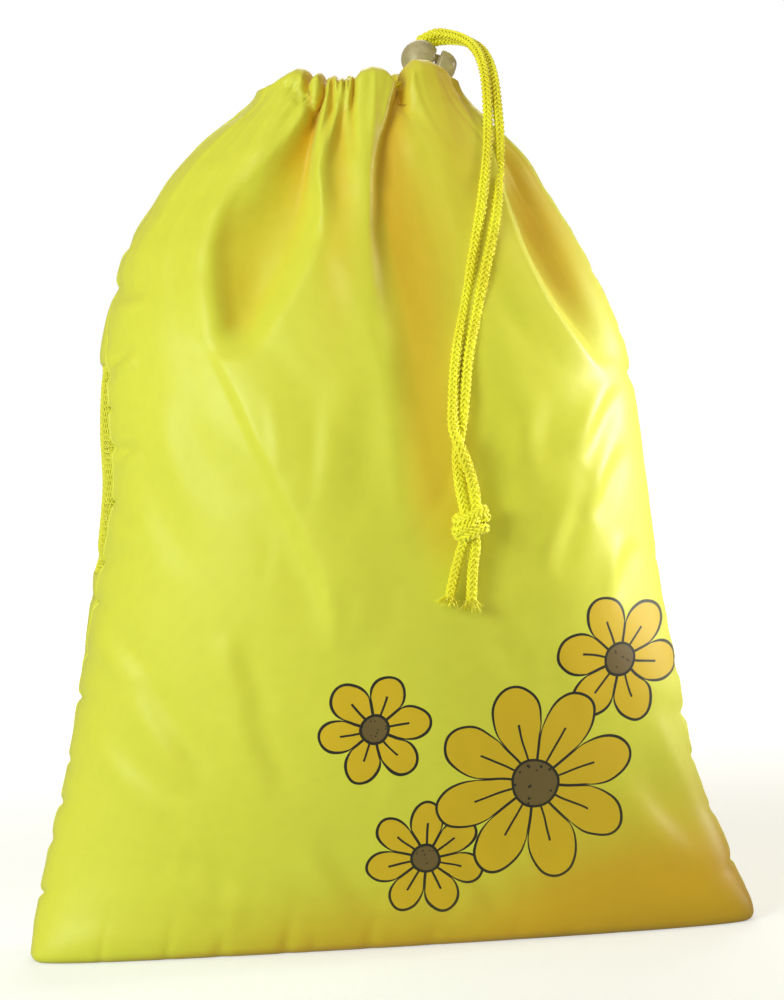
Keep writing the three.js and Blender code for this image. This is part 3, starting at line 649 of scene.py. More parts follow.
def fine_relief(side, s, x, z, fade):
    """Slow waves, gathers that fade out below the mouth, wrinkles and the casing's stitch line."""
    rise = ramp(z, 240.0, 90.0)
    fine = mix(0.5, 0.7, rise) * cloth_noise(x, z, 5 + side, mix(34.0, 15.0, rise), 2.0)
    for strength, start, span, seed, size, stretch in GATHERS:
        gathers = cloth_noise(115.0 * s, z, seed + side, size, stretch)
        fine += strength * smooth((z - start) / span) * gathers
    if side == FRONT:
        fine += 1.5 * wrinkle_depth(FRONT_WRINKLES, x, z)
    fine += wrinkle_depth(STRAY_WRINKLES, x * side, z)
    fine *= smooth(z / 16.0) * fade
    return fine + 0.35 * np.exp(-(((z - CASING_TOP + 11.0) / 1.1) ** 2))


def fold_fields(side, s, z):
    """How deep the cloth lies in its folds, how far the rest draws it in, and its painted shade."""
    z = z + 0.0 * s
    x = outline(side, s, z)[..., 0]
    high = ramp(z, 262.0, 42.0)
    fade = smooth((1 - np.abs(s)) / 0.12)
    # painted shade, darker and warmer towards the bottom edge
    low = 6.4 * (1 - smooth(z / 50.0))
    if side == FRONT:
        folds = {name: fold_depth(rows, x, z, name in SHARP_FOLDS)
                 for name, rows in FRONT_FOLDS.items()}
        deep, painted_shade = sum(folds.values()), painted_front_shade(folds, x, z, high)
        low = low * ramp(x, -165.0, 170.0)
        # more painted shade at the lower right, where the window light doesn't reach
        low += 6.0 * ramp(x, 20.0, 80.0) * smooth((96.0 - z) / 70.0)
    else:
        folds = [fold_depth(rows, s, z, False) for rows in BACK_FOLDS]
        # painted shade in the back's folds, stronger near the mouth
        deep, painted_shade = sum(folds), sum(one * mix(0.3, 0.7, high) for one in folds)
        low = low * 0.5
    rest = fine_relief(side, s, x, z, fade) + pucker_depth(side, s, x, z)
    return deep * fade, rest, painted_shade * fade + low


def fold_inset(side, s, z):
    """How far the cloth lies inside its outline."""
    deep, rest, _ = fold_fields(side, s, z)
    return deep + rest


def clear_seam(side, s, points):
    """Moves points of a panel to its own side of the nearer side seam."""
    z = np.minimum(points[..., 2], BAG_HEIGHT)
    end = np.where(s < 0, -1.0, 1.0) + 0.0 * z
    seam = outline(side, end, z)
    out = outward(side, end, z)
    ahead = np.stack([-end * side * out[..., 1], end * side * out[..., 0]], axis=-1)
    room = ((points[..., :2] - seam) * ahead).sum(-1)
    short = np.maximum(0.0, SEAM_GAP / 2 - room)
    points[..., :2] += short[..., None] * ahead
    return points


def wall_points(side, s, z, inset, deep=0.0):
    """Points inside the outline by an inset, and pushed straight back by half a fold's depth."""
    level = np.minimum(z, CASING_TOP)
    at = outline(side, s, level) - outward(side, s, level) * (inset - 0.5 * deep)[..., None]
    at[..., 1] -= side * 0.5 * deep
    return np.concatenate([at, (z + 0.0 * s)[..., None]], axis=-1)


def seam_roll(s):
    """The cloth turns in towards a sewn seam over its last few millimetres."""
    return SEAM_ROLL * smooth((np.abs(s) - SEAM_ROLL_START) / (1 - SEAM_ROLL_START)) ** 2


def sunk_share(z, reach=SINK_REACH):
    """How much of the rim's sinking the cloth follows, from none at reach below the casing."""
    return smooth((z - CASING_TOP + reach) / reach)


def panel_rows(side, s, heights, base, casing):
    """Rows of points of one panel's outer face, with the painted shade at each."""
    zero, rows, painted_tints = np.zeros_like(s), [], []

    def add(points, sunk, painted_tint):
        points[..., 2] += sunk
        rows.append(clear_seam(side, s, points))
        painted_tints.append(painted_tint)

    if base:
        inset = fold_inset(side, s, zero + BASE_EDGE) + BASE_EDGE
        # painted shade of the bottom edge on the base rows
        low = fold_fields(side, s, zero)[2]
        for share in BASE_SHARES:
            p = wall_points(side, s, zero, inset)
            p[..., 1] = side * mix(SEAM_GAP / 2, np.maximum(SEAM_GAP, side * p[..., 1]), share)
            add(p, 0.0, low)
        for angle in np.linspace(0.0, math.pi / 2, 6)[:-1]:
            z = zero + BASE_EDGE * (1 - math.cos(angle))
            add(wall_points(side, s, z, inset - BASE_EDGE * math.sin(angle)), 0.0, low)
    rim, sunk = rim_heights(side, s)
    for height in heights:
        z = zero + height
        deep, rest, painted_shade = fold_fields(side, s, z)
        p = wall_points(side, s, z, deep + rest + seam_roll(s), deep)
        add(p, sunk * sunk_share(z), painted_shade)
    if casing:
        deep, rest, painted_shade = fold_fields(side, s, zero + CASING_TOP)
        liner = LINER_INSET + 2.0 * np.clip(1 - deep / 5.0, 0.0, 1.2)
        for angle in np.linspace(0.0, math.pi, 15)[1:]:
            over = (1 - math.cos(angle)) / 2
            z = CASING_TOP + math.sin(angle) * (rim - CASING_TOP - sunk)
            p = wall_points(side, s, z, mix(deep + rest, liner, over), deep * (1 - over))
            # more painted shade as the cloth turns over into the casing
            add(p, sunk, painted_shade + 3.0 * over)
        for down in np.linspace(0.45, 1.0, 7):
            z = zero + BAG_HEIGHT - down * CASING_HEIGHT
            wall = fold_inset(side, s, z) + 2.2
            p = wall_points(side, s, z, mix(liner, wall, ramp(down, 0.55, 0.45)))
            # painted shade on the turned-in cloth inside the casing
            add(p, sunk * sunk_share(z, CASING_HEIGHT), painted_shade + 4.0)
    return np.array(rows), np.array(painted_tints)


def rim_heights(side, s):
    """The rim's height along a panel, and how far the casing under it has sunk with it."""
    x = outline(side, s, np.full_like(s, CASING_TOP))[..., 0]
    table = FRONT_RIM if side == FRONT else BACK_RIM
    rim = np.interp(x, table[:, 0], table[:, 1])
    kernel = np.hanning(7) / np.hanning(7).sum()
    rim = np.convolve(np.pad(rim, 3, mode="edge"), kernel, mode="valid")
    return rim, np.minimum(0.0, rim - CASING_TOP - 2.6)


# ---- Meshes


def grid_quads(rows, columns, flip):
    i, j = np.meshgrid(np.arange(rows - 1), np.arange(columns - 1), indexing="ij")
    a = (i * columns + j).ravel()
    quads = np.stack([a, a + 1, a + columns + 1, a + columns], axis=1)
    return quads[:, ::-1] if flip else quads


def vertex_normals(points, faces):
    a, b, c, d = (points[faces[:, k]] for k in range(4))
    face = np.cross(c - a, d - b)
    total = np.zeros_like(points)
    for k in range(4):
        np.add.at(total, faces[:, k], face)
    return unit(total)


def thick_sheet(points, faces, thickness):
    """Closes a sheet of quads with a second face and a rim."""
    inner = points - vertex_normals(points, faces) * thickness
    count = len(points)
    edges = np.concatenate([faces[:, [k, (k + 1) % 4]] for k in range(4)])
    key = edges.min(axis=1) * count + edges.max(axis=1)
    _, first, uses = np.unique(key, return_index=True, return_counts=True)
    rim = edges[first[uses == 1]]
    sides = np.stack([rim[:, 1], rim[:, 0], rim[:, 0] + count, rim[:, 1] + count], axis=1)
    return np.concatenate([points, inner]), np.concatenate([faces, faces[:, ::-1] + count, sides])


def new_mesh(name, points, faces, uv=None, painted_shade_mask=None):
    """A smooth mesh object from points in millimetres and faces of one size."""
    mesh = bpy.data.meshes.new(name)
    size = faces.shape[1]
    mesh.vertices.add(len(points))
    mesh.vertices.foreach_set("co", (points * MM).astype(np.float32).ravel())
    mesh.loops.add(faces.size)
    mesh.loops.foreach_set("vertex_index", faces.astype(np.int32).ravel())
    mesh.polygons.add(len(faces))
    mesh.polygons.foreach_set("loop_start", np.arange(0, faces.size, size, dtype=np.int32))
    mesh.polygons.foreach_set("use_smooth", np.ones(len(faces), bool))
    if uv is not None:
        for key, values in uv.items():
            layer = mesh.uv_layers.new(name=key)
            layer.data.foreach_set("uv", values[faces.ravel()].astype(np.float32).ravel())
    # the painted shade, kept as the fold attribute
    if painted_shade_mask is not None:
        layer = mesh.attributes.new("fold", "FLOAT", "POINT")
        layer.data.foreach_set("value", painted_shade_mask.astype(np.float32))
    mesh.update(calc_edges=True)
    mesh.validate()
    piece = bpy.data.objects.new(name, mesh)
    bpy.context.scene.collection.objects.link(piece)
    return piece


def finish_piece(piece, material, stands_for=(), body="bag"):
    piece.data.materials.append(material)
    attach(piece, body)
    if stands_for:
        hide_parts(*stands_for)
    return piece


ANY_WAY = (0.31, 0.17, 0.93)  # along none of the paths


def frames_along(path):
    """Directions along a path, with two directions square to it that don't twist."""
    ahead = unit(np.gradient(path, axis=0))
    sides = [unit(np.cross(ahead[0], ANY_WAY))]
    for way in ahead[1:]:
        sides.append(unit(sides[-1] - way * (sides[-1] @ way)))
    sides = np.array(sides)
    return ahead, sides, np.cross(ahead, sides)


def run_length(line):
    """How far along a line each of its points lies."""
    steps = np.linalg.norm(np.diff(line, axis=0), axis=1)
    return np.concatenate([[0.0], np.cumsum(steps)])


def smooth_path(points, step):
    """Evenly spaced points on a centripetal curve through a few points."""
    p = np.array(points, float)
    p = np.vstack([2 * p[0] - p[1], p, 2 * p[-1] - p[-2]])
    line = []
    for k in range(1, len(p) - 2):
        a, b, c, d = p[k - 1: k + 3]
        gaps = [max(np.linalg.norm(q - r), 1e-6) ** 0.5 for q, r in ((b, a), (c, b), (d, c))]
        t = np.cumsum([0.0] + gaps)
        u = np.linspace(t[1], t[2], 24, endpoint=k == len(p) - 3)[:, None]

        def blend(start, end, i, j):
            return (t[j] - u) / (t[j] - t[i]) * start + (u - t[i]) / (t[j] - t[i]) * end

        ab, bc, cd = blend(a, b, 0, 1), blend(b, c, 1, 2), blend(c, d, 2, 3)
        line.append(blend(blend(ab, bc, 0, 2), blend(bc, cd, 1, 3), 1, 2))
    line = np.concatenate(line)
    length = run_length(line)
    at = np.linspace(0.0, length[-1], max(3, int(length[-1] / step) + 1))
    return np.stack([np.interp(at, length, line[:, k]) for k in range(3)], axis=1)


def tube(centres, across, up, half_width, half_height, sides):
    """Rings round a line, closed at both ends, as points and quads."""
    turn = np.arange(sides) * 2 * math.pi / sides
    wide = np.broadcast_to(half_width, len(centres))[:, None, None]
    high = np.broadcast_to(half_height, len(centres))[:, None, None]
    ring = (centres[:, None] + np.cos(turn)[None, :, None] * across[:, None] * wide
            + np.sin(turn)[None, :, None] * up[:, None] * high)
    points = ring.reshape(-1, 3)
    i, j = np.meshgrid(np.arange(len(centres) - 1), np.arange(sides), indexing="ij")
    a, b = (i * sides + j).ravel(), (i * sides + (j + 1) % sides).ravel()
    quads = np.stack([a, b, b + sides, a + sides], axis=1)
    last = (len(centres) - 1) * sides
    caps = [(0, sides - 1 - k, sides - 2 - k, sides - 2 - k) for k in range(sides - 2)]
    caps += [(last, last + k + 1, last + k + 2, last + k + 2) for k in range(sides - 2)]
    return points, quads, np.array([c[:3] for c in caps])


def joined(parts):
    """Tubes joined into one list of points and triangles."""
    points, faces, start = [], [], 0
    for p, quads, caps in parts:
        faces += [quads[:, [0, 1, 2]] + start, quads[:, [0, 2, 3]] + start, caps + start]
        points.append(p)
        start += len(p)
    return np.concatenate(points), np.concatenate(faces)


def braid(path, yarns, lay, radius, step=CORD_STEP):
    """A round braid of flat yarns, two over and two under, on a solid core."""
    dense = smooth_path(path, step) if len(path) < 60 else path
    length = run_length(dense)
    _, side, up = frames_along(dense)
    core, wave, middle = BRAID_CORE * radius, BRAID_WAVE * radius, BRAID_MIDDLE * radius
    parts = [tube(dense, side, up, core, core, CORE_SIDES)]
    half_width = math.pi * middle / yarns * math.cos(math.atan(2 * math.pi * middle / lay)) * 0.98
    for way in (1, -1):
        for k in range(yarns):
            crossing = 2 * k + way * 2 * yarns * length / lay
            over = way * np.cos(2 * math.pi * crossing / 4 + 0.4)
            angle = 2 * math.pi * (way * length / lay + k / yarns)
            lift = middle + wave * np.clip(1.35 * over, -1, 1)
            out = np.cos(angle)[:, None] * side + np.sin(angle)[:, None] * up
            centres = dense + out * lift[:, None]
            across = np.cross(out, unit(np.gradient(centres, axis=0)))
            parts.append(
                tube(centres, across, out, half_width * 0.88, radius * YARN_HALF, YARN_SIDES))
    return joined(parts)


def lock_axes():
    """The lock's own directions: square to both, along its axis, and along its cord holes."""
    axis = np.array([math.cos(LOCK_TILT), 0.0, math.sin(LOCK_TILT)])
    rise = np.array([-math.sin(LOCK_TILT), 0.0, math.cos(LOCK_TILT)])
    hole = rise * math.cos(HOLE_TILT) + np.array([0.0, math.sin(HOLE_TILT), 0.0])
    return np.cross(axis, hole), axis, hole


def in_lock(x, y, z):
    a, b, c = lock_axes()
    return tuple(LOCK_CENTRE + a * x + b * y + c * z)


# ---- Materials


def feed(tree, socket, value):
    """Links a socket to the one that is given, or sets its value."""
    if isinstance(value, bpy.types.NodeSocket):
        tree.links.new(value, socket)
    else:
        socket.default_value = value


def add_node(tree, kind, settings=None, **inputs):
    """A node with its settings, and its inputs by name, or by number as i0, i1 and so on."""
    node = tree.nodes.new("ShaderNode" + kind)
    for key, value in (settings or {}).items():
        setattr(node, key, value)
    for key, value in inputs.items():
        numbered = key[0] == "i" and key[1:].isdigit()
        feed(tree, node.inputs[int(key[1:]) if numbered else key.replace("_", " ")], value)
    return node


def maths(tree, operation, a, b=0.0, c=0.0, clamp=False):
    settings = {"operation": operation, "use_clamp": clamp}
    return add_node(tree, "Math", settings, i0=a, i1=b, i2=c).outputs[0]


def blend_colour(tree, share, a, b, kind="MIX"):
    settings = {"data_type": "RGBA", "blend_type": kind}
    return add_node(tree, "Mix", settings, i0=share, i6=a, i7=b).outputs[2]


def between(tree, value, low, high, to_low=0.0, to_high=1.0):
    """A value taken smoothly from one range to another."""
    return add_node(
        tree, "MapRange", {"interpolation_type": "SMOOTHSTEP"},
        i0=value, i1=low, i2=high, i3=to_low, i4=to_high,
    ).outputs[0]


def noise(tree, place, scale, detail=2.0, **more):
    inputs = {"Vector": place, "Scale": scale, "Detail": detail, **more}
    return add_node(tree, "TexNoise", **inputs).outputs["Fac"]


def object_place(tree):
    return add_node(tree, "TexCoord").outputs["Object"]


def new_group(name, inputs, outputs):
    """An empty shader node group with named sockets, and its input and output nodes."""
    tree = bpy.data.node_groups.new(name, "ShaderNodeTree")
    kinds = {"vector": "NodeSocketVector", "value": "NodeSocketFloat", "colour": "NodeSocketColor"}
    for title, kind, default in inputs:
        socket = tree.interface.new_socket(title, in_out="INPUT", socket_type=kinds[kind])
        if default is not None:
            socket.default_value = default
    for title, kind in outputs:
        tree.interface.new_socket(title, in_out="OUTPUT", socket_type=kinds[kind])
    return tree, tree.nodes.new("NodeGroupInput"), tree.nodes.new("NodeGroupOutput")


def use_group(tree, name, **inputs):
    settings = {"node_tree": bpy.data.node_groups[name]}
    return add_node(tree, "Group", settings, **inputs)


def grain_group():
    """Cloth grain: fine threads, soft bubbles under the coating and slow changes of tone."""
    tree, given, made = new_group(
        "cloth_grain",
        [("Vector", "vector", None), ("Thread", "value", 0.0009), ("Bubble", "value", 0.005)],
        [("Tone", "value"), ("Height", "value"), ("Gloss", "value")],
    )
    calc = partial(maths, tree)
    place = given.outputs["Vector"]
    split = add_node(tree, "SeparateXYZ", Vector=place)
    per_thread = calc("DIVIDE", 2 * math.pi, given.outputs["Thread"])
    warp, weft = (calc("SINE", calc("MULTIPLY", split.outputs[axis], per_thread)) for axis in "XY")
    threads = calc("MULTIPLY", warp, weft)
    cells = add_node(
        tree, "TexVoronoi", {"feature": "SMOOTH_F1"}, Vector=place,
        Scale=calc("DIVIDE", 1.0, given.outputs["Bubble"]), Smoothness=0.6,
    )
    ring = between(tree, cells.outputs["Distance"], 0.2, 0.62)
    slow = noise(tree, place, 14.0, 3.0)
    fine = noise(tree, place, 900.0)
    tone = calc("MULTIPLY_ADD", ring, 0.22, calc("MULTIPLY", slow, 0.8))
    height = calc("MULTIPLY_ADD", threads, 0.12, calc("MULTIPLY", ring, 0.12))
    height = calc("MULTIPLY_ADD", fine, 0.3, height)
    for title, value in (("Tone", tone), ("Height", height), ("Gloss", slow)):
        tree.links.new(value, made.inputs[title])


def painted_shade_group():
    """Painted shade and painted glow: deep folds of bright cloth are painted warmer and darker than
    the open cloth, and glow in their own colour.
    """
    tree, given, made = new_group(
        "fold_tint",
        [("Lit", "colour", None), ("Fold", "colour", None), ("Tone", "value", 0.5)],
        [("Colour", "colour"), ("Glow", "colour")],
    )
    # the painted shade that the panels carry
    depth = add_node(tree, "Attribute", {"attribute_name": "fold"}).outputs["Fac"]
    share = between(tree, depth, 0.5, 10.0, 0.0, 0.95)
    base = blend_colour(tree, share, given.outputs["Lit"], given.outputs["Fold"])
    weak = maths(tree, "MULTIPLY_ADD", given.outputs["Tone"], 0.08, 0.95)
    # painted shade that darkens the deepest folds further
    weak = maths(tree, "MULTIPLY", weak, between(tree, depth, 9.0, 16.0, 1.0, 0.66))
    shade = add_node(tree, "CombineColor", i0=weak, i1=weak, i2=weak).outputs[0]
    colour = blend_colour(tree, 1.0, base, shade, "MULTIPLY")
    tree.links.new(colour, made.inputs["Colour"])
    # painted glow, stronger in deeper folds
    black = (0.0, 0.0, 0.0, 1.0)
    tree.links.new(blend_colour(tree, share, black, colour), made.inputs["Glow"])


def rosette_group():
    """A printed rosette: round petals with veins about a dotted disc, drawn by hand."""
    tree, given, made = new_group(
        "printed_rosette",
        [("Vector", "vector", None), ("Centre X", "value", 0.0), ("Centre Y", "value", 0.0),
         ("Radius", "value", 0.03), ("Petals", "value", 7.0), ("Turn", "value", 0.0),
         ("Line", "value", 0.0005)],
        [("Petal", "value"), ("Outline", "value"), ("Disc", "value"), ("Dots", "value")],
    )
    calc = partial(maths, tree)
    put = given.outputs
    place, radius, line = put["Vector"], put["Radius"], put["Line"]
    loose = calc("MULTIPLY_ADD", noise(tree, place, 55.0, 1.0), 0.003, -0.0015)
    split = add_node(tree, "SeparateXYZ", Vector=place)
    x, y = (
        calc("ADD", calc("SUBTRACT", split.outputs[axis], put[f"Centre {axis}"]), loose)
        for axis in "XY"
    )
    r = calc("SQRT", calc("ADD", calc("MULTIPLY", x, x), calc("MULTIPLY", y, y)))
    angle = calc("ADD", calc("ARCTAN2", y, x), put["Turn"])
    half = calc("MULTIPLY", calc("MULTIPLY", angle, put["Petals"]), 0.5)
    cosine, sine = (calc("ABSOLUTE", calc(kind, half)) for kind in ("COSINE", "SINE"))
    # the petals' edge, which is drawn thicker where two of them meet
    lobe = calc("POWER", cosine, 0.55)
    reach = calc("MULTIPLY", radius, calc("MULTIPLY_ADD", lobe, 0.55, 0.45))
    off = calc("SUBTRACT", r, reach)
    petal = calc("LESS_THAN", off, 0.0)
    thicker = calc("MULTIPLY_ADD", calc("SUBTRACT", 1.0, lobe), 2.4, 1.0)
    edge = calc("LESS_THAN", calc("ABSOLUTE", off), calc("MULTIPLY", line, thicker))
    # the disc and its edge
    disc_radius = calc("MULTIPLY", radius, 0.24)
    disc_off = calc("SUBTRACT", r, disc_radius)
    disc = calc("LESS_THAN", disc_off, 0.0)
    disc_edge = calc("LESS_THAN", calc("ABSOLUTE", disc_off), line)
    # a line between two petals, and a short vein in the middle of each
    narrow = calc("MULTIPLY", line, calc("MULTIPLY", put["Petals"], 0.5))
    gap = calc("MULTIPLY", calc("LESS_THAN", calc("MULTIPLY", r, cosine), narrow), petal)
    vein = calc("LESS_THAN", calc("MULTIPLY", r, sine), calc("MULTIPLY", narrow, 0.8))
    vein = calc("MULTIPLY", vein, calc("LESS_THAN", r, calc("MULTIPLY", radius, 0.62)))
    lines = calc("MAXIMUM", calc("MAXIMUM", edge, disc_edge), calc("MAXIMUM", gap, vein))
    outside_disc = calc("GREATER_THAN", disc_off, 0.0)
    lines = calc("MAXIMUM", calc("MULTIPLY", lines, outside_disc), disc_edge)
    per_dot = calc("DIVIDE", 3.2, disc_radius)
    dots = add_node(tree, "TexVoronoi", Vector=place, Scale=per_dot)
    dotted = calc("MULTIPLY", calc("LESS_THAN", dots.outputs["Distance"], 0.2), disc)
    for title, value in (("Petal", petal), ("Outline", lines), ("Disc", disc), ("Dots", dotted)):
        tree.links.new(value, made.inputs[title])


def start_material(name, **sockets):
    """A material with a Principled BSDF, whose constants are set on its own sockets."""
    material = bpy.data.materials.new(name)
    material.use_nodes = True
    tree = material.node_tree
    shader = tree.nodes["Principled BSDF"]
    for key, value in sockets.items():
        shader.inputs[key.replace("_", " ")].default_value = value
    return material, tree, shader


def finish_shader(tree, shader, colour, gloss, rough, height=None, strength=0.0, distance=0.0003):
    """Feeds a shader its colour, a roughness that varies with gloss and, if given, a bump."""
    tree.links.new(colour, shader.inputs["Base Color"])
    tree.links.new(between(tree, gloss, 0.3, 0.7, *rough), shader.inputs["Roughness"])
    if height is not None:
        bump = add_node(tree, "Bump", Strength=strength, Distance=distance, Height=height)
        tree.links.new(bump.outputs[0], shader.inputs["Normal"])


# The darker strands of the cord and the net, and the paler swirls and dark specks of the lock
CORD_DARK = (0.93, 0.88, 0.7, 1.0)
NET_DARK = 0.85
LOCK_PALE = 1.25
LOCK_SPECK = (0.12, 0.09, 0.05, 1.0)

ROSETTES = (  # centre x and z, radius, petals and turn, the last one on top
    (0.092, 0.112, 0.026, 6.0, 0.2),
    (-0.006, 0.092, 0.022, 6.0, 0.9),
    (0.012, 0.038, 0.0235, 7.0, 0.3),
    (0.056, 0.066, 0.04, 8.0, 0.55),
)


def cloth_material(name, cloth, printed):
    material, tree, shader = start_material(
        name, Sheen_Weight=0.25, Sheen_Roughness=0.45, Sheen_Tint=(1.0, 1.0, 0.75, 1.0),
        Specular_IOR_Level=0.45, Emission_Strength=0.06,
    )
    place = add_node(tree, "UVMap", {"uv_map": "cloth"}).outputs[0]
    grain = use_group(tree, "cloth_grain", Vector=place, Thread=0.0011, Bubble=0.0052)
    # painted shade in the folds, from the panels' fold attribute
    painted_tint = use_group(tree, "fold_tint", Lit=tuple(cloth.lit), Fold=tuple(cloth.fold),
                     Tone=grain.outputs["Tone"])
    colour = painted_tint.outputs["Colour"]
    if printed:
        drawn = add_node(tree, "UVMap", {"uv_map": "print"}).outputs[0]
        for x, z, radius, petals, turn in ROSETTES:
            motif = use_group(tree, "printed_rosette", Vector=drawn, Centre_X=x, Centre_Y=z,
                              Radius=radius, Petals=petals, Turn=turn, Line=0.00055)
            masks = motif.outputs
            colour = blend_colour(tree, masks["Petal"], colour, tuple(cloth.print_fill))
            colour = blend_colour(tree, masks["Disc"], colour, tuple(cloth.print_disc))
            ink = maths(tree, "MAXIMUM", masks["Outline"], masks["Dots"])
            colour = blend_colour(tree, ink, colour, tuple(cloth.print_line))
    # painted glow: the folds give off their own colour, at the emission strength set above
    tree.links.new(painted_tint.outputs["Glow"], shader.inputs["Emission Color"])
    finish_shader(tree, shader, colour, grain.outputs["Gloss"], (0.42, 0.5),
                  grain.outputs["Height"], 0.12)
    return material


def cord_material(cords):
    material, tree, shader = start_material("braided_cord", Sheen_Weight=0.3, Sheen_Roughness=0.4)
    place = object_place(tree)
    fibre = noise(tree, place, 1800.0, 3.0)
    share = between(tree, noise(tree, place, 60.0), 0.35, 0.7)
    dark = tuple(c * k for c, k in zip(cords.colour, CORD_DARK))
    colour = blend_colour(tree, share, tuple(cords.colour), dark)
    finish_shader(tree, shader, colour, fibre, (0.5, 0.66), fibre, 0.35)
    return material


def net_material(net):
    material, tree, shader = start_material("net_thread", Sheen_Weight=0.2)
    slow = noise(tree, object_place(tree), 70.0)
    colour = blend_colour(tree, slow, tuple(net.colour), tuple(c * NET_DARK for c in net.colour))
    finish_shader(tree, shader, colour, slow, (0.5, 0.62))
    return material


def lock_material(lock):
    material, tree, shader = start_material("lock_plastic", Coat_Weight=0.15, Coat_Roughness=0.3)
    place = object_place(tree)
    speck = noise(tree, place, 700.0, 3.0)
    swirl = noise(tree, place, 120.0, 3.0, Distortion=1.5)
    pale = tuple(min(1.0, c * LOCK_PALE) for c in lock.colour)
    colour = blend_colour(tree, between(tree, swirl, 0.35, 0.65), tuple(lock.colour), pale)
    colour = blend_colour(tree, between(tree, speck, 0.62, 0.7, 0.0, 0.3), colour, LOCK_SPECK)
    finish_shader(tree, shader, colour, swirl, (0.38, 0.5), speck, 0.1, 0.0002)
    return material


def known(name, make, *args):
    return bpy.data.materials.get(name) or make(*args)


def satin(context, name="plain_satin"):
    """The cloth's material, printed or plain."""
    printed = name == "printed_satin"
    return known(name, cloth_material, name, context.scene.bag_cloth, printed)


# ---- Operators


class BAG_OT_stage(Operator):
    """Make the camera, the floor and the lights."""

    bl_idname = "bag.stage"
    bl_label = "Stage"

    def execute(self, context):
        stage = context.scene.bag_stage
        self.camera(context)
        self.floor(tuple(stage.floor))
        for name, (place, aim, size, spread, power, colour) in LIGHTS.items():
            data = bpy.data.lights.new(name, "AREA")
            data.energy = getattr(stage, name) if power is None else power
            data.shape, data.color, data.spread = "RECTANGLE", colour, math.radians(spread)
            data.size, data.size_y = size
            light = bpy.data.objects.new(name, data)
            light.location = place
            ahead = Vector(aim) - Vector(place)
            light.rotation_euler = ahead.to_track_quat("-Z", "Y").to_euler()
            context.scene.collection.objects.link(light)
        self.surroundings(context, stage.ambient)
        context.scene.view_settings.view_transform = "Standard"
        return {"FINISHED"}

    def surroundings(self, context, ambient):
        """Warm weak light from all round, which the camera sees as white."""
        world = bpy.data.worlds.new("studio")
        world.use_nodes = True
        tree = world.node_tree
        sky = tree.nodes["Background"]
        seen = add_node(tree, "LightPath").outputs["Is Camera Ray"]
        feed(tree, sky.inputs["Color"], blend_colour(tree, seen, AMBIENT_COLOUR, WHITE))
        feed(tree, sky.inputs["Strength"], between(tree, seen, 0.0, 1.0, ambient, 1.0))
        context.scene.world = world

    def camera(self, context):
        data = bpy.data.cameras.new("camera")
        data.lens, data.sensor_width, data.sensor_fit = CAMERA_LENS, 36.0, "AUTO"
        data.clip_start, data.clip_end = 0.05, 50.0
        camera = bpy.data.objects.new("camera", data)
        ahead = Vector((
            -math.sin(CAMERA_AZIMUTH) * math.cos(CAMERA_ELEVATION),
            math.cos(CAMERA_AZIMUTH) * math.cos(CAMERA_ELEVATION),
            -math.sin(CAMERA_ELEVATION),
        ))
        camera.location = Vector(CAMERA_TARGET) - ahead * CAMERA_DISTANCE
        turn = ahead.to_track_quat("-Z", "Y").to_matrix().to_4x4()
        spin = math.cos(CAMERA_ROLL), math.sin(CAMERA_ROLL)
        right, top = turn.col[0].copy(), turn.col[1].copy()
        turn.col[0] = right * spin[0] - top * spin[1]
        turn.col[1] = top * spin[0] + right * spin[1]
        camera.rotation_euler = turn.to_euler()
        context.scene.collection.objects.link(camera)
        context.scene.camera = camera

    def floor(self, colour):
        """A pale floor with a painted glow, seen only by the camera, that looks brighter away from
        the bag.
        """
        ends = -FLOOR_REACH, FLOOR_REACH
        points = np.array([(x, y, 0.0) for y in ends for x in ends])
        piece = new_mesh("floor", points, grid_quads(2, 2, False))
        material, tree, shader = start_material(
            "pale_floor", Roughness=0.85, Specular_IOR_Level=0.15, Emission_Color=WHITE,
        )
        place = object_place(tree)
        darker = tuple(c * 0.985 for c in colour)
        shade = blend_colour(tree, noise(tree, place, 2.0), colour, darker)
        tree.links.new(shade, shader.inputs["Base Color"])
        away = add_node(tree, "VectorMath", {"operation": "LENGTH"}, Vector=place)
        # painted glow, from half white near the bag to full white away from it
        glow = between(tree, away.outputs["Value"], 0.2, 1.0, 0.5, 1.0)
        seen = add_node(tree, "LightPath").outputs["Is Camera Ray"]
        tree.links.new(maths(tree, "MULTIPLY", glow, seen), shader.inputs["Emission Strength"])
        piece.data.materials.append(material)


def lock_start(y, back):
    """A strand's first two points, from back inside the lock's ball to above it."""
    return [in_lock(0, y, LOCK_RADIUS + 0.7 - back), in_lock(0, y, LOCK_RADIUS + 2.6)]


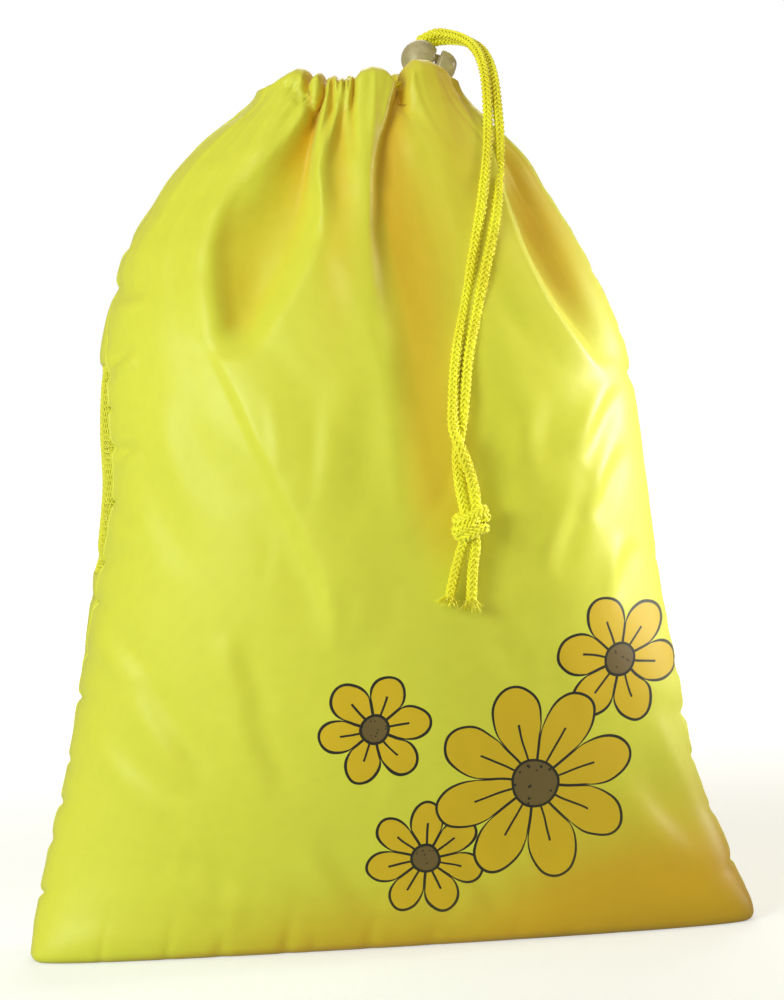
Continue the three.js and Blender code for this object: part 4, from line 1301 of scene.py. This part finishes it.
class BAG_OT_cords(Operator):
    """Make the two free cords with their knot and frayed ends, and the cord in the casing."""

    bl_idname = "bag.cords"
    bl_label = "Cords"

    def execute(self, context):
        cords = context.scene.bag_cord
        material = known("braided_cord", cord_material, cords)
        lay = cords.lay / MM
        knot = self.knot(cords.yarns, lay)
        finish_piece(knot, material, ("cord_knot",))
        sides = (
            ("cord_left", -CORD_CENTRE, LEFT_STRAND, LEFT_TAIL, ("strand_left", "tail_left")),
            ("cord_right", CORD_CENTRE, RIGHT_STRAND, RIGHT_TAIL, ("strand_right", "tail_right")),
        )
        for k, (name, y, strand, tail, nodes) in enumerate(sides):
            path = smooth_path(lock_start(y, 1.5) + strand + tail, CORD_STEP)
            points, faces = braid(path, cords.yarns, lay, 1.06 * CORD_WIDTH / 2)
            piece = finish_piece(new_mesh(name, points, faces), material, nodes)
            fray = self.fray(name.replace("cord", "fray"), path, 31 + k)
            finish_piece(fray, material)
        through = [(0, LOCK_RADIUS - 1.5), (0, 0), (0, -LOCK_RADIUS - 2.3)]
        route = [in_lock(x, -CORD_CENTRE, z) for x, z in through] + CASING_ROUTE
        route += [in_lock(x, CORD_CENTRE, z) for x, z in reversed(through)]
        path = smooth_path(route, CASING_STEP)
        points, faces = braid(path, cords.yarns, lay, 0.46 * CORD_WIDTH, CASING_STEP)
        finish_piece(new_mesh("casing_braid", points, faces), material,
                     ("casing_cord",))
        return {"FINISHED"}

    def knot(self, yarns, lay):
        """An overhand knot: turns of cord drawn tight round both strands."""
        points, faces, count = [], [], 0
        index = np.arange(KNOT_POINTS)
        for rise, start, reach, lean in KNOT_TURNS:
            turn = np.linspace(start, start + 2 * math.pi * 1.1, KNOT_POINTS)
            radius = mix(0.4, reach, smooth(np.minimum(index, index[::-1]) / 3.5))
            loop = np.stack([
                5.3 * radius * np.cos(turn), -3.5 * radius * np.sin(turn),
                rise + lean * np.cos(turn) + 0.5 * np.sin(2 * turn),
            ], axis=1)
            path = smooth_path(KNOT_CENTRE + loop, KNOT_STEP)
            p, f = braid(path, yarns, lay * 0.75, 2.0, KNOT_STEP)
            points.append(p)
            faces.append(f + count)
            count += len(p)
        return new_mesh("knot", np.concatenate(points), np.concatenate(faces))

    def fray(self, name, path, seed):
        """Loose fibres at the cut end of a cord."""
        chance = np.random.default_rng(seed)
        end = path[-1]
        ahead, side, up = (d[-1] for d in frames_along(path))
        parts = []
        radius = CORD_WIDTH / 2
        for _ in range(FRAY_FIBRES):
            turn, off = chance.uniform(0, 2 * math.pi), radius * math.sqrt(chance.uniform())
            out = math.cos(turn) * side + math.sin(turn) * up
            spread = chance.uniform(0.2, 1.5) * (0.4 + off / radius)
            long = chance.uniform(2.0, 4.4)
            t = np.linspace(0.0, 1.0, 6)[:, None]
            curl = chance.normal(0.0, 0.8, 3)
            line = end - ahead * 1.2 + out * off
            line = line + ahead * (long * t) + out * (spread * long * 0.55 * t**1.6) + curl * t**2
            _, a, b = frames_along(line)
            width = mix(0.22, 0.12, t[:, 0])
            parts.append(tube(line, a, b, width, width, 3))
        points, faces = joined(parts)
        return new_mesh(name, points, faces)


def panel_piece(name, side, columns, heights, base, casing, thickness, cut=None):
    """One cloth panel as a closed sheet, with its painted shade and two sets of coordinates."""
    s = np.linspace(-1.0, 1.0, columns)
    points, painted_tint = panel_rows(side, s, heights, base, casing)
    rows = len(points)
    across = np.broadcast_to(s * BAG_WIDTH / 2, (rows, columns))
    down = run_length(points[:, columns // 2])[:, None] + np.zeros(columns)
    cloth_uv = np.stack([across, down], axis=-1).reshape(-1, 2) * MM
    print_uv = points[..., [0, 2]].reshape(-1, 2) * MM
    flat = points.reshape(-1, 3)
    faces = grid_quads(rows, columns, side == BACK)
    normals = vertex_normals(flat, faces)
    # painted shade where the cloth faces away from the bright side
    away = 1 - smooth((normals @ BRIGHT_SIDE + 0.15) / 0.75)
    if side == FRONT:
        # no painted shade on the lower right side and on the walls that face right, which have
        # light of their own
        away *= 1 - ramp(flat[:, 0], 62.0, 24.0) * smooth((238.0 - flat[:, 2]) / 14.0)
        away *= 1 - ramp(flat[:, 0], 42.0, 10.0) * ramp(normals[:, 0], 0.3, 0.25)
    painted_tint = painted_tint.ravel() + AWAY_PAINTED_SHADE * away
    if cut is not None:
        faces = faces[~cut(flat[faces].mean(axis=1))]
    thick, all_faces = thick_sheet(flat, faces, thickness / MM)
    # more painted shade on the inner face
    painted_shade_mask = np.concatenate([painted_tint, painted_tint + INNER_PAINTED_SHADE])
    # the print's own coordinates leave the inner face clear of it
    uv = {
        "cloth": np.concatenate([cloth_uv] * 2),
        "print": np.concatenate([print_uv, print_uv + (0.0, 1.0)]),
    }
    return new_mesh(name, thick, all_faces, uv, painted_shade_mask)


def plain_uv(points):
    """Both sets of coordinates, seen from the front, for a piece that has no print."""
    return {key: points[:, [0, 2]] * MM for key in ("cloth", "print")}


class BAG_OT_front(Operator):
    """Make the front panel: base, wall and casing in one piece of cloth."""

    bl_idname = "bag.front"
    bl_label = "Front panel"

    def execute(self, context):
        cloth = context.scene.bag_cloth
        heights = np.concatenate([
            np.linspace(BASE_EDGE, 30.0, 14)[:-1], np.linspace(30.0, 200.0, 60)[:-1],
            np.linspace(200.0, CASING_TOP, 82),
        ])
        piece = panel_piece("front_cloth", FRONT, FRONT_COLUMNS, heights, True, True,
                            cloth.thickness)
        finish_piece(piece, satin(context, "printed_satin"), ("front_panel",))
        return {"FINISHED"}


def in_slot(points):
    """Whether points of the back casing are in the buttonhole that the cord comes out of."""
    a, b, c = lock_axes()
    off = points - LOCK_CENTRE
    x, y, z = off @ a, off @ b, off @ c
    inside = np.hypot(np.maximum(np.abs(y) - SLOT_HALF, 0.0), x) < SLOT_RADIUS
    return inside & (z < -0.5 * LOCK_RADIUS) & (z > -2.6 * LOCK_RADIUS)


class BAG_OT_back(Operator):
    """Make the two cloth panels of the back, below and above the net."""

    bl_idname = "bag.back"
    bl_label = "Back panels"

    def execute(self, context):
        thickness = context.scene.bag_cloth.thickness
        low = np.concatenate([np.linspace(BASE_EDGE, 30.0, 12)[:-1],
                              np.linspace(30.0, NET_BOTTOM + NET_LAP, 40)])
        lower = panel_piece("back_lower_cloth", BACK, BACK_LOWER_COLUMNS, low, True, False,
                            thickness)
        finish_piece(lower, satin(context), ("back_lower_panel",))
        high = np.linspace(NET_TOP - NET_LAP, CASING_TOP, 66)
        upper = panel_piece("back_upper_cloth", BACK, BACK_UPPER_COLUMNS, high, False, True,
                            thickness, in_slot)
        finish_piece(upper, satin(context), ("back_upper_panel",))
        return {"FINISHED"}


class BAG_OT_seams(Operator):
    """Make the rolled edge of cloth along each side seam."""

    bl_idname = "bag.seams"
    bl_label = "Side seams"

    def execute(self, context):
        heights = np.linspace(1.2, CASING_TOP - 3.0, 320)
        for name, end in (("left_seam", -1.0), ("right_seam", 1.0)):
            s = np.full_like(heights, end)
            line = wall_points(FRONT, s, heights, fold_inset(FRONT, s, heights) + SEAM_INSET)
            line[:, 2] += rim_heights(FRONT, s[:1])[1][0] * sunk_share(heights)
            _, across, up = frames_along(line)
            ripple = SEAM_RADIUS + 0.12 * np.sin(heights / 2.1 + np.sin(heights / 9.0))
            points, faces = joined([tube(line, across, up, ripple, ripple, SEAM_SIDES)])
            piece = new_mesh(name, points, faces, plain_uv(points), np.zeros(len(points)))
            finish_piece(piece, satin(context))
        return {"FINISHED"}


class BAG_OT_net(Operator):
    """Make the net band between the back's two cloth panels."""

    bl_idname = "bag.net"
    bl_label = "Net band"

    def execute(self, context):
        net = context.scene.bag_net
        pitch, thread = net.pitch / MM, net.thread / MM
        arc = self.arc_length()
        columns = int(arc / pitch)
        rise = pitch * math.sqrt(3) / 2
        rows = int((NET_TOP - NET_BOTTOM + NET_LAP) / rise)
        lines = self.threads(columns, rows)
        s = -1 + 2 * lines[..., 0] / columns
        z = NET_BOTTOM - NET_LAP / 2 + lines[..., 1] * rise
        s = np.clip(s, -0.998, 0.998)
        ends = wall_points(BACK, s, z, fold_inset(BACK, s, z) + NET_INSET)
        normal = np.concatenate([outward(BACK, s[:, 0], z[:, 0]), np.zeros((len(s), 1))], axis=1)
        ahead = ends[:, 1] - ends[:, 0]
        across = unit(np.cross(normal, ahead))
        half = thread / 2
        ring = [across * half, normal * half * 0.7, -across * half, -normal * half * 0.7]
        points = np.concatenate([ends[:, 0] + r for r in ring] + [ends[:, 1] + r for r in ring])
        count = len(ends)
        index = np.arange(count)
        faces = np.concatenate([
            np.stack([index + k * count, index + (k + 1) % 4 * count,
                      index + ((k + 1) % 4 + 4) * count, index + (k + 4) * count], axis=1)
            for k in range(4)
        ])
        self.tapes(context)
        piece = new_mesh("net_band", points, faces)
        finish_piece(piece, known("net_thread", net_material, net), ("mesh_band",))
        return {"FINISHED"}

    def tapes(self, context):
        """The tape of cloth sewn in behind the net's two ends."""
        thickness = context.scene.bag_cloth.thickness / MM
        heights = np.linspace(NET_BOTTOM - 3.0, NET_TOP + 3.0, 90)
        for name, end in (("left_tape", -1.0), ("right_tape", 1.0)):
            s = np.sort(end * np.linspace(TAPE_START, TAPE_END, 12))
            rows = [wall_points(BACK, s, z + 0 * s, fold_inset(BACK, s, z + 0 * s) + TAPE_INSET)
                    for z in heights]
            points = np.array([clear_seam(BACK, s, p) for p in rows]).reshape(-1, 3)
            faces = grid_quads(len(rows), len(s), True)
            points, faces = thick_sheet(points, faces, thickness)
            piece = new_mesh(name, points, faces, plain_uv(points), np.zeros(len(points)))
            finish_piece(piece, satin(context))

    def arc_length(self):
        """The net's length from seam to seam, half way up."""
        s = np.linspace(-1, 1, 200)
        return run_length(outline(BACK, s, np.full_like(s, (NET_BOTTOM + NET_TOP) / 2)))[-1]

    def threads(self, columns, rows):
        """The threads of a net of hexagons, as pairs of ends in cells across and rows up."""
        lines = []
        for j in range(rows):
            shift = 0.5 * (j % 2)
            for i in range(columns):
                x = i + shift
                low, high = j + 1 / 6, j + 5 / 6
                lines.append(((x, low), (x, high)))
                lines.append(((x, high), (x + 0.5, j + 7 / 6)))
                lines.append(((x, high), (x - 0.5, j + 7 / 6)))
        return np.array(lines)


def turned(profile, sides):
    """A shape turned about the lock's axis from rows of place along it and radius."""
    a, b, c = np.eye(3)
    count = len(profile)
    centres = profile[:, :1] * b
    across, up = np.tile(c, (count, 1)), np.tile(a, (count, 1))
    return tube(centres, across, up, profile[:, 1], profile[:, 1], sides)


def to_lock(points):
    return LOCK_CENTRE + points @ np.array(lock_axes())


class BAG_OT_lock(Operator):
    """Make the ball of the cord lock and its press button."""

    bl_idname = "bag.lock"
    bl_label = "Cord lock"

    def execute(self, context):
        material = known("lock_plastic", lock_material, context.scene.bag_lock)
        points, faces = self.ball()
        finish_piece(new_mesh("ball", to_lock(points), faces), material,
                     ("lock_body",))
        points, faces = self.button()
        finish_piece(new_mesh("button", to_lock(points), faces), material,
                     ("lock_button",), "button")
        return {"FINISHED"}

    def ball(self):
        """A ball with a flat face, a bore behind it, and a dimple where the cords come out."""
        turn = np.linspace(0.02, math.acos(-LOCK_FLAT / LOCK_RADIUS) - 0.04, 90)
        shell = np.stack([-LOCK_RADIUS * np.cos(turn), LOCK_RADIUS * np.sin(turn)], axis=1)
        bore, end = STEM_RADIUS + 0.3, STEM_BACK + BUTTON_TRAVEL + 0.3
        face = np.array([
            (LOCK_FLAT - 0.08, 5.8), (LOCK_FLAT, 5.6), (LOCK_FLAT, bore + 0.3),
            (LOCK_FLAT - 0.1, bore + 0.05), (LOCK_FLAT - 0.4, bore), (-end, bore), (-end, 0.05),
        ])
        points, quads, caps = turned(np.concatenate([shell, face]), BALL_SIDES)
        skin = points[: len(shell) * BALL_SIDES]
        off = np.hypot(skin[:, 0], np.maximum(np.abs(skin[:, 1]) - CORD_CENTRE, 0.0))
        skin[:, 2] -= np.sign(skin[:, 2]) * 2.0 * smooth((2.9 - off) / 0.8)
        return joined([(points, quads, caps)])

    def button(self):
        """A rounded cap on a neck, with the two prongs that go past the cords into the ball."""
        parts = [turned(BUTTON_PROFILE, BUTTON_SIDES)]
        along = np.linspace(-STEM_BACK, BUTTON_PROFILE[0, 0] + 0.4, PRONG_POINTS)
        across, up = (np.tile(way, (PRONG_POINTS, 1)) for way in ((0.0, 0.0, 1.0), (1.0, 0.0, 0.0)))
        for x in (-PRONG_OFF, PRONG_OFF):
            centres = np.stack([np.full_like(along, x), along, np.zeros_like(along)], axis=1)
            parts.append(tube(centres, across, up, *PRONG_HALVES, PRONG_SIDES))
        return joined(parts)


class BAG_PT_panel(Panel):
    """Lists the steps that build the bag."""

    bl_idname = "BAG_PT_panel"
    bl_label = "Drawstring bag"
    bl_space_type = "VIEW_3D"
    bl_region_type = "UI"
    bl_category = "Bag"

    def draw(self, context):
        for step in STEPS:
            self.layout.operator(step.bl_idname)
        for key in GROUPS:
            box = self.layout.box()
            group = getattr(context.scene, key)
            for item in group.bl_rna.properties:
                if item.identifier not in ("rna_type", "name"):
                    box.prop(group, item.identifier)


STEPS = (
    BAG_OT_stage, BAG_OT_cords, BAG_OT_front, BAG_OT_back, BAG_OT_seams, BAG_OT_net, BAG_OT_lock,
)
GROUPS = {
    "bag_cloth": ClothSettings, "bag_cord": CordSettings, "bag_net": NetSettings,
    "bag_lock": LockSettings, "bag_stage": StageSettings,
}
CLASSES = (*GROUPS.values(), *STEPS, BAG_PT_panel)


def register():
    for cls in CLASSES:
        bpy.utils.register_class(cls)
    for key, cls in GROUPS.items():
        setattr(bpy.types.Scene, key, PointerProperty(type=cls))


def unregister():
    for key in GROUPS:
        delattr(bpy.types.Scene, key)
    for cls in reversed(CLASSES):
        bpy.utils.unregister_class(cls)


def main():
    register()
    for make in (grain_group, painted_shade_group, rosette_group):
        make()
    bpy.ops.bag.stage()
    bpy.ops.bag.cords()
    bpy.ops.bag.front()
    bpy.ops.bag.back()
    bpy.ops.bag.seams()
    bpy.ops.bag.net()
    bpy.ops.bag.lock()


if __name__ == "__main__":
    main()
